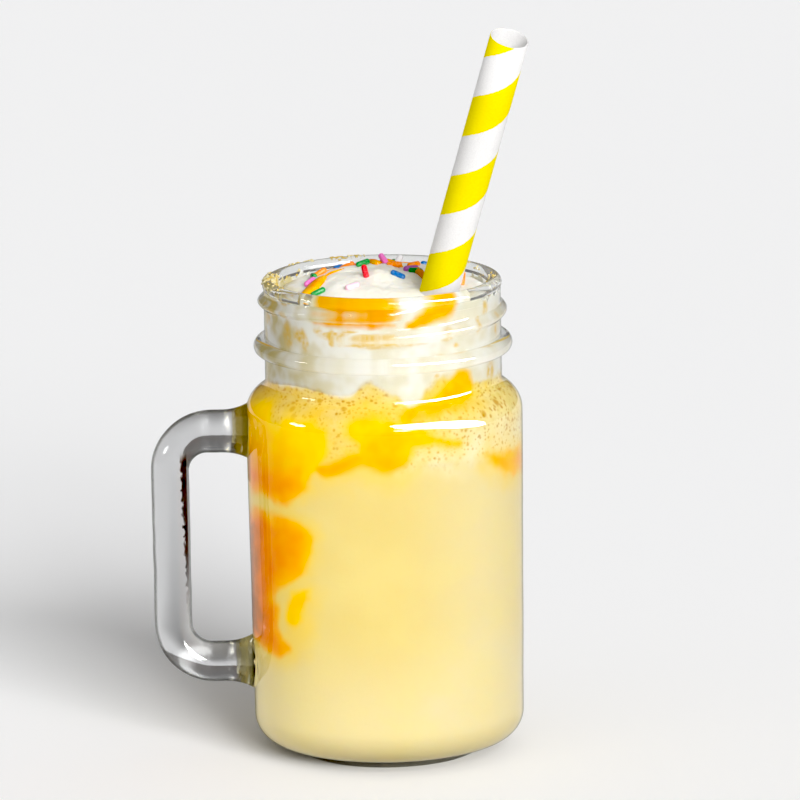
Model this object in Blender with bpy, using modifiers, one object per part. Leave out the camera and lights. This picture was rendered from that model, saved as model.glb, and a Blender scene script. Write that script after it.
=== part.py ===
"""A mango milkshake in a glass jar mug, with whipped cream, sauce, sprinkles and a striped paper straw.

The jar's axis is +Z, its foot stands on Z = 0 and its handle points along -X.
"""

import math
import random

import bmesh
import bpy
from mathutils import Vector

MM = 0.001

# Jar, outside
JAR_HEIGHT = 135.0 * MM
FOOT_RADIUS = 25.6 * MM
FOOT_BEVEL = 0.6 * MM
HEEL_RADIUS = 37.9 * MM
HEEL_ARC = 7.6 * MM
HEEL_HEIGHT = 10.65 * MM
BODY_RADIUS = 38.7 * MM
BODY_WIDEST = 88.0 * MM
SHOULDER_HEIGHT = 97.0 * MM
SHOULDER_ARC = 8.3 * MM
SHOULDER_TURN = math.radians(60)
NECK_FILLET = 3.0 * MM
NECK_RADIUS = 33.1 * MM
BEAD_HEIGHT = 116.1 * MM
BEAD_REACH = 36.15 * MM
BEAD_ARC = 2.27 * MM
LIP_RADIUS = 33.4 * MM
LIP_ARC = 1.885 * MM

# Jar, inside
WALL = 3.1 * MM
FLOOR_HEIGHT = 4.2 * MM
FLOOR_ARC = 8.0 * MM

# Screw thread for a 70 mm lid, a rounded ridge of one and a bit turns
THREAD_REACH = 34.8 * MM
THREAD_ARC = 1.6 * MM
THREAD_PITCH = 6.35 * MM
THREAD_RIGHT_HEIGHT = 125.6 * MM
THREAD_FROM = math.radians(-128)
THREAD_TO = math.radians(297)
THREAD_FADE = math.radians(32)

# Handle, a glass bar bent into a D
HANDLE_REACH = 60.35 * MM
HANDLE_TOP = 91.65 * MM
HANDLE_BOTTOM = 25.35 * MM
HANDLE_BEND = 11.2 * MM
HANDLE_ROOT = 36.8 * MM
HANDLE_THICKNESS = 10.6 * MM
HANDLE_DEPTH = 14.0 * MM
HANDLE_TOP_SHARE = 1.12
HANDLE_BOTTOM_SHARE = 1.05
FLARE_LENGTH = 6.0 * MM
FLARE_GROWTH = 0.30

# Contents, from the floor up
GAP = 0.3 * MM
WALL_GAP = 0.4 * MM
SHAKE_TOP = 87.8 * MM
FOAM_TOP = 108.0 * MM
CREAM_EDGE = 129.5 * MM
CREAM_PEAK = 138.6 * MM
CREAM_POWER = 0.8
SWIRL_DEPTH = 0.7 * MM
SWIRL_ARMS = 2
SWIRL_PITCH = 13.0 * MM
WAVE_FADE_RADIUS = 12.0 * MM

# Mango sauce that clings to the glass, as bands of changing height
SAUCE_DEPTH = 2.6 * MM

# Toppings on the cream
DRIZZLE_ARC = 1.7 * MM
DRIZZLE_SUNK = 0.6 * MM
SPRINKLE_LENGTH = 4.6 * MM
SPRINKLE_RADIUS = 0.7 * MM
SPRINKLE_COUNT = 24
SPRINKLE_REACH = 20.0 * MM
SPRINKLE_SEED = 7

# Straw, which leans on the lip and on the wall at the far side of the floor
STRAW_LENGTH = 210.0 * MM
STRAW_RADIUS = 5.375 * MM
STRAW_WALL = 0.45 * MM
STRAW_AT_LIP = Vector((15.01, -16.41, 131.0)) * MM
STRAW_FOOT = Vector((-15.32, 24.62, 17.33)) * MM

# Facets round the turned pieces
JAR_STEPS = 48
FILL_STEPS = 48
STRAW_STEPS = 24
HANDLE_SIDES = 4
THREAD_POINT_EVERY = math.radians(9)

TURN = 2 * math.pi


def clear_scene():
    """Removes what the file opens with."""
    for obj in list(bpy.data.objects):
        bpy.data.objects.remove(obj, do_unlink=True)


def new_collection(name):
    collection = bpy.data.collections.new(name)
    bpy.context.scene.collection.children.link(collection)
    return collection


def material(name, colour, roughness, transmission=0.0):
    made = bpy.data.materials.new(name)
    made.use_nodes = True
    shader = made.node_tree.nodes["Principled BSDF"]
    shader.inputs["Base Color"].default_value = (*colour, 1.0)
    shader.inputs["Roughness"].default_value = roughness
    shader.inputs["Metallic"].default_value = 0.0
    shader.inputs["Transmission Weight"].default_value = transmission
    return made


def add_object(name, data, collection, look=None):
    obj = bpy.data.objects.new(name, data)
    collection.objects.link(obj)
    if look:
        data.materials.append(look)
    return obj


def to_mesh(obj, look=None):
    """Replaces a curve or a modified object by its evaluated mesh, with the caps welded."""
    graph = bpy.context.evaluated_depsgraph_get()
    mesh = bpy.data.meshes.new_from_object(obj.evaluated_get(graph))
    mesh.transform(obj.matrix_world)
    name, collection = obj.name, obj.users_collection[0]
    bpy.data.objects.remove(obj, do_unlink=True)
    body = bmesh.new()
    body.from_mesh(mesh)
    bmesh.ops.remove_doubles(body, verts=body.verts, dist=0.01 * MM)
    bmesh.ops.recalc_face_normals(body, faces=body.faces)
    body.to_mesh(mesh)
    body.free()
    mesh.materials.clear()
    return add_object(name, mesh, collection, look)


def smooth(obj, degrees=35):
    obj.data.shade_smooth()
    obj.data.set_sharp_from_angle(angle=math.radians(degrees))


def arc(centre, radius, start, end, count):
    """Points of an arc in the profile plane, angles from +X towards +Z, both ends included."""
    angles = [start + (end - start) * i / count for i in range(count + 1)]
    return [(centre[0] + radius * math.cos(a), centre[1] + radius * math.sin(a)) for a in angles]


def turned(name, profile, collection, steps, look=None, closed=False):
    """A profile of (radius, height) points turned round +Z, as a mesh. It runs down its outer side."""
    mesh = bpy.data.meshes.new(name)
    edges = [(i, i + 1) for i in range(len(profile) - 1)]
    if closed:
        edges.append((len(profile) - 1, 0))
    mesh.from_pydata([(r, 0.0, z) for r, z in profile], edges, [])
    obj = add_object(name, mesh, collection)
    screw = obj.modifiers.new("Turn", "SCREW")
    screw.steps = screw.render_steps = steps
    screw.use_merge_vertices = True
    screw.merge_threshold = 0.00001
    screw.use_normal_calculate = True
    bpy.context.view_layer.update()
    return to_mesh(obj, look)


def boolean(obj, operation, other=None, collection=None, solver="EXACT"):
    """Joins, cuts or crops obj, and applies the result to its mesh."""
    modifier = obj.modifiers.new("Boolean", "BOOLEAN")
    modifier.operation = operation
    modifier.solver = solver
    if collection:
        modifier.operand_type = "COLLECTION"
        modifier.collection = collection
    else:
        modifier.object = other
    bpy.context.view_layer.update()
    graph = bpy.context.evaluated_depsgraph_get()
    mesh = bpy.data.meshes.new_from_object(obj.evaluated_get(graph))
    obj.modifiers.clear()
    old, look = obj.data, obj.data.materials[0] if obj.data.materials else None
    obj.data = mesh
    bpy.data.meshes.remove(old)
    mesh.materials.clear()
    if look:
        mesh.materials.append(look)
    return obj


def remove_all(collection):
    for obj in list(collection.objects):
        bpy.data.objects.remove(obj, do_unlink=True)


def body_slope():
    """How much the body widens for each metre of height."""
    return (BODY_RADIUS - HEEL_RADIUS) / (BODY_WIDEST - HEEL_HEIGHT)


def inner_profile():
    """The jar's inside as (radius, height) points, from the floor's centre up to the lip."""
    wall_foot = FLOOR_HEIGHT + FLOOR_ARC
    foot_radius = HEEL_RADIUS + body_slope() * (wall_foot - HEEL_HEIGHT) - WALL
    shoulder = (BODY_RADIUS - SHOULDER_ARC, SHOULDER_HEIGHT)
    fillet = (NECK_RADIUS + NECK_FILLET, shoulder_end()[1] + NECK_FILLET * math.sin(SHOULDER_TURN))
    points = [(0.0, FLOOR_HEIGHT)]
    points += arc((foot_radius - FLOOR_ARC, wall_foot), FLOOR_ARC, -math.pi / 2, 0, 4)
    points += [(BODY_RADIUS - WALL, BODY_WIDEST)]
    points += arc(shoulder, SHOULDER_ARC - WALL, 0, SHOULDER_TURN, 3)
    points += arc(fillet, NECK_FILLET + WALL, math.pi + SHOULDER_TURN, math.pi, 4)[1:]
    return points


def shoulder_end():
    """Where the shoulder's arc meets the neck's fillet, outside."""
    return (
        BODY_RADIUS - SHOULDER_ARC + SHOULDER_ARC * math.cos(SHOULDER_TURN),
        SHOULDER_HEIGHT + SHOULDER_ARC * math.sin(SHOULDER_TURN),
    )


def outer_profile():
    """The jar's outside from the end of the lip down to the foot's centre."""
    bead_centre = BEAD_REACH - BEAD_ARC
    bead_turn = math.acos((NECK_RADIUS - bead_centre) / BEAD_ARC)
    fillet = (NECK_RADIUS + NECK_FILLET, shoulder_end()[1] + NECK_FILLET * math.sin(SHOULDER_TURN))
    shoulder = (BODY_RADIUS - SHOULDER_ARC, SHOULDER_HEIGHT)
    points = [(NECK_RADIUS, JAR_HEIGHT - 2.6 * LIP_ARC)]
    points += arc((bead_centre, BEAD_HEIGHT), BEAD_ARC, bead_turn, -bead_turn, 5)
    points += arc(fillet, NECK_FILLET, math.pi, math.pi + SHOULDER_TURN, 3)
    points += arc(shoulder, SHOULDER_ARC, SHOULDER_TURN, 0, 4)[1:]
    points += [(BODY_RADIUS, BODY_WIDEST)]
    points += arc((HEEL_RADIUS - HEEL_ARC, HEEL_HEIGHT), HEEL_ARC, 0, -math.pi / 2, 4)
    points += [(FOOT_RADIUS, HEEL_HEIGHT - HEEL_ARC - FOOT_BEVEL), (FOOT_RADIUS, FOOT_BEVEL)]
    points += [(FOOT_RADIUS - FOOT_BEVEL, 0.0), (0.0, 0.0)]
    return points


def jar_profile():
    lip = arc((LIP_RADIUS - LIP_ARC, JAR_HEIGHT - LIP_ARC), LIP_ARC, math.radians(200), math.radians(-30), 6)
    return inner_profile() + lip + outer_profile()


def swept_tube(name, points, shares, radius, sides, collection):
    """A tube along points, its radius changed by each point's share, as a closed mesh."""
    curve = bpy.data.curves.new(name, "CURVE")
    curve.dimensions = "3D"
    curve.bevel_depth = radius
    curve.bevel_resolution = sides
    curve.use_fill_caps = True
    spline = curve.splines.new("POLY")
    spline.points.add(len(points) - 1)
    for target, point, share in zip(spline.points, points, shares):
        target.co = (*point, 1.0)
        target.radius = share
    obj = add_object(name, curve, collection)
    bpy.context.view_layer.update()
    return to_mesh(obj)


def add_thread(tools):
    """The screw thread's ridge, which fades into the neck at both ends."""
    count = round((THREAD_TO - THREAD_FROM) / THREAD_POINT_EVERY)
    points, shares = [], []
    for i in range(count + 1):
        angle = THREAD_FROM + (THREAD_TO - THREAD_FROM) * i / count
        fade = min(1.0, (angle - THREAD_FROM) / THREAD_FADE, (THREAD_TO - angle) / THREAD_FADE)
        share = 0.35 + 0.65 * math.sin(fade * math.pi / 2)
        radius = THREAD_REACH - THREAD_ARC - (1 - share) * THREAD_ARC
        height = THREAD_RIGHT_HEIGHT + THREAD_PITCH * angle / TURN
        points.append((radius * math.cos(angle), radius * math.sin(angle), height))
        shares.append(share)
    return swept_tube("thread", points, shares, THREAD_ARC, 2, tools)


def handle_line():
    """The handle's centre line as (x, z), from its upper root to its lower one."""
    bend_x = HANDLE_BEND - HANDLE_REACH
    top = arc((bend_x, HANDLE_TOP - HANDLE_BEND), HANDLE_BEND, math.pi / 2, math.pi, 6)
    bottom = arc((bend_x, HANDLE_BOTTOM + HANDLE_BEND), HANDLE_BEND, math.pi, 1.5 * math.pi, 6)
    roots = [HANDLE_ROOT + FLARE_LENGTH * share for share in (0.0, 0.35, 0.7, 1.0)]
    middle = [(-HANDLE_REACH, (HANDLE_TOP + HANDLE_BOTTOM) / 2)]
    upper = [(-x, HANDLE_TOP) for x in roots]
    lower = [(-x, HANDLE_BOTTOM) for x in reversed(roots)]
    return upper + top + middle + bottom + lower


def add_handle(tools):
    """The handle, thicker across than along, and flared where it meets the body."""
    points, shares = [], []
    middle = (HANDLE_TOP + HANDLE_BOTTOM) / 2
    for x, z in handle_line():
        upright = min(1.0, (HANDLE_REACH + x) / HANDLE_BEND)
        end_share = HANDLE_TOP_SHARE if z > middle else HANDLE_BOTTOM_SHARE
        share = 1.0 + (end_share - 1.0) * upright
        near_root = max(0.0, 1.0 - (-x - HANDLE_ROOT) / FLARE_LENGTH)
        points.append((x, 0.0, z))
        shares.append(share + FLARE_GROWTH * near_root**2)
    handle = swept_tube("handle", points, shares, HANDLE_THICKNESS / 2, HANDLE_SIDES, tools)
    for vertex in handle.data.vertices:
        vertex.co.y *= HANDLE_DEPTH / HANDLE_THICKNESS
    return handle


def add_jar(parts, tools, look):
    """The glass: a turned jar with its thread and handle fused on."""
    jar = turned("jar", jar_profile(), parts, JAR_STEPS, look)
    add_thread(tools)
    add_handle(tools)
    boolean(jar, "UNION", collection=tools)
    remove_all(tools)
    smooth(jar)
    return jar


def shake_wave(angle):
    """How far the drink's top lies above its mean round the wall."""
    return MM * (1.0 * -math.cos(2 * angle) + 0.8 * math.sin(3 * angle + 0.6) + 0.6 * math.sin(5 * angle))


def foam_wave(angle):
    """The same for the foam's top."""
    return MM * (1.2 * -math.cos(2 * angle) + 0.7 * math.sin(3 * angle + 2.1) + 0.8 * math.sin(5 * angle))


def fill_radius(height):
    """The radius of what fills the jar at a height, a gap inside the glass."""
    profile = inner_profile()
    for (r0, z0), (r1, z1) in zip(profile[1:], profile[2:]):
        if z0 <= height <= z1 and z1 > z0:
            return r0 + (r1 - r0) * (height - z0) / (z1 - z0) - WALL_GAP
    return profile[-1][0] - WALL_GAP


def fill_side(low, high, count, power=1.0):
    """The side of a layer as (radius, height) points, from high down to low. A power crowds them low."""
    heights = [low + (high - low) * (1 - i / count) ** power for i in range(count + 1)]
    return [(fill_radius(z), z) for z in heights]


def flat_rings(level, edge, count=2):
    """Points along a level layer from the axis out to its edge, without the edge itself."""
    return [(edge * i / (count + 1), level) for i in range(count + 1)]


def still(angle):
    return 0.0


def settle(layer, low, high, low_wave, high_wave):
    """Bends a layer's bottom and top to wavy lines, and lays its side along the wall again."""
    for vertex in layer.data.vertices:
        x, y, z = vertex.co
        if not low - GAP / 2 < z < high + GAP / 2:
            continue
        radius = math.hypot(x, y)
        angle = math.atan2(y, x)
        share = (z - low) / (high - low)
        near_wall = min(1.0, radius / WAVE_FADE_RADIUS)
        height = z + near_wall * ((1 - share) * low_wave(angle) + share * high_wave(angle))
        vertex.co.z = height
        if radius > 0.95 * fill_radius(z):
            vertex.co.x = x * fill_radius(height) / radius
            vertex.co.y = y * fill_radius(height) / radius


def add_milkshake(parts, look):
    """The drink itself, from the floor up to the foam."""
    inner = inner_profile()
    bottom = [(max(0.0, r - GAP), z + GAP) for r, z in inner[1:6]]
    low = inner[5][1] + 2 * MM
    side = fill_side(low, SHAKE_TOP, 4)
    top = flat_rings(SHAKE_TOP, side[0][0])
    profile = top + side + list(reversed(bottom)) + [(0.0, FLOOR_HEIGHT + GAP)]
    shake = turned("milkshake", profile, parts, FILL_STEPS, look)
    settle(shake, low, SHAKE_TOP, still, shake_wave)
    return shake


def add_foam(parts, look):
    """The layer of bubbles on the drink, which fills the shoulder."""
    low, high = SHAKE_TOP + GAP, FOAM_TOP
    side = fill_side(low, high, 12)
    bottom = flat_rings(low, side[-1][0])
    profile = flat_rings(high, side[0][0]) + side + list(reversed(bottom))
    foam = turned("foam", profile, parts, FILL_STEPS, look)
    settle(foam, low, high, shake_wave, foam_wave)
    return foam


def cream_height(x, y):
    """The top of the whipped cream over a point: a dome with a shallow spiral fold."""
    edge = fill_radius(CREAM_EDGE)
    radius = min(math.hypot(x, y), edge)
    dome = (1.0 - (radius / edge) ** 2) ** CREAM_POWER
    turn = SWIRL_ARMS * math.atan2(y, x) - TURN * radius / SWIRL_PITCH
    inside = min(1.0, radius / (6 * MM)) * min(1.0, (edge - radius) / (6 * MM))
    return CREAM_EDGE + (CREAM_PEAK - CREAM_EDGE) * dome + SWIRL_DEPTH * inside * math.sin(turn)


def add_cream(parts, look):
    """The whipped cream, before its toppings."""
    low = FOAM_TOP + GAP
    side = fill_side(low, CREAM_EDGE, 10, 1.7)
    top = flat_rings(CREAM_PEAK, side[0][0], 8)
    bottom = flat_rings(low, side[-1][0])
    cream = turned("whipped_cream", top + side + list(reversed(bottom)), parts, FILL_STEPS, look)
    settle(cream, low, CREAM_EDGE, foam_wave, still)
    for vertex in cream.data.vertices:
        if vertex.co.z > CREAM_EDGE + MM:
            vertex.co.z = cream_height(vertex.co.x, vertex.co.y)
    return cream


def add_drizzle(tools):
    """Two thick runs of sauce over the cream: one round its left and far side, one down its right."""
    runs = (
        ("drizzle_left", 23.5 * MM, 14.5 * MM, math.radians(218), math.radians(95)),
        ("drizzle_back", 9.0 * MM, 15.0 * MM, math.radians(150), math.radians(-5)),
    )
    for name, start_radius, end_radius, start, end in runs:
        points, shares = [], []
        count = 14
        for i in range(count + 1):
            share = i / count
            angle = start + (end - start) * share
            radius = start_radius + (end_radius - start_radius) * share
            radius += 1.2 * MM * math.sin(5 * angle)
            x, y = radius * math.cos(angle), radius * math.sin(angle)
            points.append((x, y, cream_height(x, y) - DRIZZLE_SUNK))
            shares.append(0.7 + 0.3 * math.sin(math.pi * share) + 0.12 * math.sin(9 * angle))
        swept_tube(name, points, shares, DRIZZLE_ARC, 1, tools)


def sprinkle_places():
    """Where the sprinkles lie, as (x, y, heading): a sunflower spiral, shaken a little, clear of the straw."""
    shake = random.Random(SPRINKLE_SEED)
    golden = math.radians(137.508)
    places = []
    for i in range(SPRINKLE_COUNT):
        radius = SPRINKLE_REACH * math.sqrt((i + 0.5) / SPRINKLE_COUNT)
        angle = i * golden + shake.uniform(-0.3, 0.3)
        x, y = radius * math.cos(angle), radius * math.sin(angle)
        heading = shake.uniform(0, math.pi)
        beside = Vector((x, y)) - STRAW_AT_LIP.xy
        if beside.length > STRAW_RADIUS + SPRINKLE_LENGTH:
            places.append((x, y, heading))
    return places


def add_sprinkles(tools):
    """Short rods with rounded ends, half sunk in the cream."""
    half = SPRINKLE_LENGTH / 2
    shares = (0.5, 1.0, 1.0, 0.5)
    for i, (x, y, heading) in enumerate(sprinkle_places()):
        along = Vector((math.cos(heading), math.sin(heading), 0.0)) * half
        ends = [Vector((x, y, 0.0)) - along, Vector((x, y, 0.0)) + along]
        for end in ends:
            end.z = cream_height(end.x, end.y) + 0.25 * SPRINKLE_RADIUS
        points = [ends[0].lerp(ends[1], share) for share in (0.0, 0.14, 0.86, 1.0)]
        swept_tube(f"sprinkle_{i}", points, shares, SPRINKLE_RADIUS, 1, tools)


def top_cream(cream, tools):
    """Fuses the drizzle and the sprinkles to the cream."""
    add_drizzle(tools)
    add_sprinkles(tools)
    boolean(cream, "UNION", collection=tools)
    remove_all(tools)


def straw_axis():
    return (STRAW_AT_LIP - STRAW_FOOT).normalized()


def place_along_straw(obj):
    obj.rotation_mode = "QUATERNION"
    obj.rotation_quaternion = straw_axis().to_track_quat("Z", "Y")
    obj.location = STRAW_FOOT


def add_straw(parts, look):
    """A thin paper tube, open at both ends."""
    inner = STRAW_RADIUS - STRAW_WALL
    heights = [STRAW_LENGTH * i / 6 for i in range(7)]
    outside = [(STRAW_RADIUS, z) for z in reversed(heights)]
    inside = [(inner, z) for z in heights]
    straw = turned("straw", outside + inside, parts, STRAW_STEPS, look, closed=True)
    place_along_straw(straw)
    smooth(straw)
    return straw


def cut_straw_channel(tools, *layers):
    """Clears the straw's way through the layers it stands in."""
    bpy.ops.mesh.primitive_cylinder_add(
        vertices=STRAW_STEPS, radius=STRAW_RADIUS + 1.5 * GAP, depth=STRAW_LENGTH
    )
    cutter = bpy.context.active_object
    cutter.name = "straw_channel"
    for collection in list(cutter.users_collection):
        collection.objects.unlink(cutter)
    tools.objects.link(cutter)
    cutter.data.transform(cutter.matrix_world.Translation((0, 0, STRAW_LENGTH / 2 - GAP)))
    place_along_straw(cutter)
    bpy.context.view_layer.update()
    for layer in layers:
        boolean(layer, "DIFFERENCE", other=cutter)
    remove_all(tools)


def blend(stations, share):
    """Reads (angle, low, high) rows at a share of their run, smoothly."""
    place = share * (len(stations) - 1)
    i = min(int(place), len(stations) - 2)
    t = place - i
    ease = t * t * (3 - 2 * t)
    angle = stations[i][0] + (stations[i + 1][0] - stations[i][0]) * t
    low, high = (stations[i][k] + (stations[i + 1][k] - stations[i][k]) * ease for k in (1, 2))
    return math.radians(angle), low * MM, high * MM


def sauce_band(name, stations, collection, grown=0.0, look=None):
    """A band of sauce on the wall. stations are (degrees round the axis, lowest and highest mm)."""
    count = 5 * (len(stations) - 1)
    body = bmesh.new()
    rings = []
    for i in range(count + 1):
        angle, low, high = blend(stations, i / count)
        if i in (0, count):
            angle += math.copysign(grown / BODY_RADIUS, i - 1)
        low, high = low - grown, high + grown
        middle = (low + high) / 2
        outside = -WALL / 2 if grown else 0.0
        edge, deepest = SAUCE_DEPTH / 2 + grown, SAUCE_DEPTH + grown
        corners = ((low, outside), (high, outside), (high, edge), (middle, deepest), (low, edge))
        ring = []
        for height, depth in corners:
            radius = fill_radius(height) - depth
            ring.append(body.verts.new((radius * math.cos(angle), radius * math.sin(angle), height)))
        rings.append(ring)
    for first, second in zip(rings, rings[1:]):
        for k in range(len(first)):
            j = (k + 1) % len(first)
            body.faces.new((first[k], first[j], second[j], second[k]))
    body.faces.new(rings[0])
    body.faces.new(reversed(rings[-1]))
    bmesh.ops.recalc_face_normals(body, faces=body.faces)
    bmesh.ops.triangulate(body, faces=body.faces)
    mesh = bpy.data.meshes.new(name)
    body.to_mesh(mesh)
    body.free()
    return add_object(name, mesh, collection, look)


def add_sauce(parts, tools, look, layers):
    """The bands of sauce on the wall, each let into the layers it touches."""
    bands = {
        "sauce_left": ((176, 76, 88), (190, 74, 93), (205, 75, 93), (222, 80, 94), (238, 83, 88)),
        "sauce_front": ((242, 82, 88), (256, 80, 93), (270, 82, 94), (281, 88, 94), (300, 90, 93)),
        "sauce_right": ((332, 80, 82), (344, 77, 86), (358, 78, 88), (375, 82, 92), (392, 88, 91)),
        "sauce_low": ((150, 46, 50), (166, 38, 62), (182, 32, 70), (196, 34, 71), (206, 58, 66)),
        "sauce_back": ((62, 70, 73), (80, 62, 80), (98, 52, 84), (116, 60, 82), (132, 74, 78)),
    }
    for name, stations in bands.items():
        sauce_band(name, stations, parts, look=look)
        cutter = sauce_band(f"{name}_cutter", stations, tools, grown=GAP)
        for layer in layers:
            boolean(layer, "DIFFERENCE", other=cutter)
        remove_all(tools)


def main():
    clear_scene()
    parts = new_collection("milkshake_mug")
    tools = new_collection("tools")
    glass = material("clear_glass", (0.95, 0.97, 0.95), 0.02, transmission=1.0)
    shake_look = material("mango_shake", (0.98, 0.80, 0.32), 0.35)
    foam_look = material("mango_foam", (0.96, 0.78, 0.30), 0.6)
    cream_look = material("whipped_cream", (0.95, 0.92, 0.84), 0.5)
    sauce_look = material("mango_sauce", (0.95, 0.42, 0.01), 0.2)
    paper = material("striped_paper", (0.95, 0.80, 0.10), 0.8)

    add_jar(parts, tools, glass)
    milkshake = add_milkshake(parts, shake_look)
    foam = add_foam(parts, foam_look)
    cream = add_cream(parts, cream_look)
    top_cream(cream, tools)
    add_straw(parts, paper)
    cut_straw_channel(tools, milkshake, foam, cream)
    add_sauce(parts, tools, sauce_look, (milkshake, foam))
    for layer in (milkshake, foam, cream):
        smooth(layer)


main()
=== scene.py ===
"""Looks of a mango milkshake in a jar mug, with sauce, whipped cream, sprinkles and a paper straw.

Lengths are metres in the part's own frame: the jar's axis is +Z, the handle points along -X, the
camera looks along +Y. Heights and radii repeat the ones the part is built from.
"""

import math
import random

import bmesh
import bpy
import numpy as np
from mathutils import Matrix, Vector, noise


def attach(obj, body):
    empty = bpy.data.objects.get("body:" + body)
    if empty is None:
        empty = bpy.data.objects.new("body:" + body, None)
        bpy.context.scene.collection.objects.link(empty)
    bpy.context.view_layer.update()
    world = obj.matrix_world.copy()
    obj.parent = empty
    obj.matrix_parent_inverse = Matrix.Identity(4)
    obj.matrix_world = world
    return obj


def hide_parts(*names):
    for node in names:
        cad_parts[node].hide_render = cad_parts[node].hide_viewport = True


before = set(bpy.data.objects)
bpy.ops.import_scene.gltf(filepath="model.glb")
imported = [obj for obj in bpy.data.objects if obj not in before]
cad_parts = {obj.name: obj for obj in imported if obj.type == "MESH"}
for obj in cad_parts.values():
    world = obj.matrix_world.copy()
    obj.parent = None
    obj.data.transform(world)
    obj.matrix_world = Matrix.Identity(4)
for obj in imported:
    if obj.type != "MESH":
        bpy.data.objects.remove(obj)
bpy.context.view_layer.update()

MM = 0.001
TURN = 2 * math.pi
ARC_PER_DEGREE = math.radians(1)

# Camera, at the photograph's angle
VIEW_ELEVATION = math.radians(12.918)
VIEW_ROLL = math.radians(-1.029)
VIEW_DISTANCE = 2.1086
VIEW_TARGET = Vector((0.0, 0.0, 0.069))
FRAME_PIXELS = 800
TARGET_PIXEL = (385.88, 506.78)
FOCAL_PIXELS = 7509.5
SENSOR_WIDTH = 36.0

# Light: the sky's brightness, and its soft boxes as strength, bearing, elevation, half sizes, softness
SKY_HORIZON = 0.23
SKY_TOP = 0.468
SKY_LOW_TINT = (1.0, 0.94, 0.90, 1.0)
WHITE = (1.0, 1.0, 1.0, 1.0)
SOFT_BOXES = (
    (19.5, -61, 28, 15, 13, 0.3),
    (26.0, -75, 17, 9, 5, 0.5),
)
# Dark flags at both sides, which with the painted edge shade give the glass its outlines: bearing, elevation,
# half sizes, softness
DARK_FLAGS = (
    (-4, 14, 26, 20, 0.5),
    (184, 14, 26, 20, 0.5),
)
FLAG_SHARE = 0.85
# Cards that only show as glints in the glass: bearing, elevation, half width, half height, tilt, power
GLINT_CARDS = (
    (-37, 21, 44, 11, -27, 1200.0),
    (-168, 14, 8, 4, 0, 12.0),
)
# Cards that light only the drink, or only the cream, its film and the straw, in the same terms
DRINK_FILLS = (
    (-152, 6, 35, 25, 0, 60.0),
    (-8, 10, 30, 20, 0, 17.0),
    (95, 12, 45, 30, 0, 34.0),
)
CREAM_FILLS = (
    (-150, 20, 35, 25, 0, 15.0),
    (95, 20, 45, 30, 0, 12.0),
)
CARD_DISTANCE = 2.0
BLACK_LEVEL = 0.048

# Jar
JAR_HEIGHT = 135.0 * MM
FOOT_RADIUS = 25.6 * MM
FOOT_BEVEL = 0.6 * MM
HEEL_RADIUS = 37.9 * MM
HEEL_ARC = 7.6 * MM
HEEL_HEIGHT = 10.65 * MM
BODY_RADIUS = 38.7 * MM
BODY_WIDEST = 88.0 * MM
SHOULDER_HEIGHT = 97.0 * MM
SHOULDER_ARC = 8.3 * MM
SHOULDER_TURN = math.radians(60)
NECK_FILLET = 3.0 * MM
NECK_RADIUS = 33.1 * MM
BEAD_HEIGHT = 116.1 * MM
BEAD_REACH = 36.15 * MM
BEAD_ARC = 2.27 * MM
LIP_RADIUS = 33.4 * MM
LIP_ARC = 1.885 * MM
WALL = 3.1 * MM
FLOOR_HEIGHT = 4.2 * MM
FLOOR_ARC = 8.0 * MM
JAR_STEPS = 240
JAR_RIPPLE = 0.05 * MM

# Thread
THREAD_REACH = 34.8 * MM
THREAD_HALF_WIDTH = 2.1 * MM
THREAD_PITCH = 6.35 * MM
THREAD_RIGHT_HEIGHT = 125.6 * MM
THREAD_FROM = math.radians(-128)
THREAD_TO = math.radians(297)
THREAD_FADE = math.radians(32)

# Handle
HANDLE_REACH = 60.35 * MM
HANDLE_TOP = 91.65 * MM
HANDLE_BOTTOM = 25.35 * MM
HANDLE_BEND = 11.2 * MM
HANDLE_ROOT = 36.8 * MM
HANDLE_HALF_THICKNESS = 5.3 * MM
HANDLE_HALF_DEPTH = 7.0 * MM
HANDLE_TOP_SHARE = 1.12
HANDLE_BOTTOM_SHARE = 1.05
FLARE_LENGTH = 9.0 * MM
FLARE_GROWTH = 2.7 * MM
JOIN_END = -41.5 * MM
# Painted dark reflection: a ragged streak along the handle's inner edge, in front: where it lies across the
# handle, its height range and its slant
STREAK_FROM = -57.0 * MM
STREAK_TO = -55.4 * MM
STREAK_TAPER = 0.028
STREAK_LOW = (34 * MM, 60 * MM)
STREAK_HIGH = (88 * MM, 84 * MM)
STREAK_MIDDLE = 80 * MM
# Painted shade along the glass where it turns edge-on: where it starts on the body and on the handle, and its
# share
OUTLINE_FROM = 0.78
HANDLE_OUTLINE_FROM = 0.5
OUTLINE_SHARE = 0.6

# Contents
INTO_WALL = 0.15 * MM
SHAKE_TOP = 88.0 * MM
FOAM_TOP = 108.0 * MM
CREAM_EDGE = 129.5 * MM
CREAM_PEAK = 137.2 * MM
CREAM_POWER = 0.8
FILL_STEPS = 360

# Straw
STRAW_LENGTH = 210.0 * MM
STRAW_RADIUS = 5.375 * MM
STRAW_WALL = 0.45 * MM
STRAW_FOOT = Vector((-15.32, 24.62, 17.33)) * MM
STRAW_AT_LIP = Vector((15.01, -16.41, 131.0)) * MM
STRIPE_PITCH = 25.5 * MM
STRIPE_PHASE = 0.468


def rgb(red, green, blue, dim=1.0):
    """A colour given as it looks on a screen, as Blender's linear values, dimmed by a share."""
    linear = []
    for value in (red, green, blue):
        share = value / 255
        linear.append(dim * (share / 12.92 if share <= 0.04045 else ((share + 0.055) / 1.055) ** 2.4))
    return (*linear, 1.0)


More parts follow.
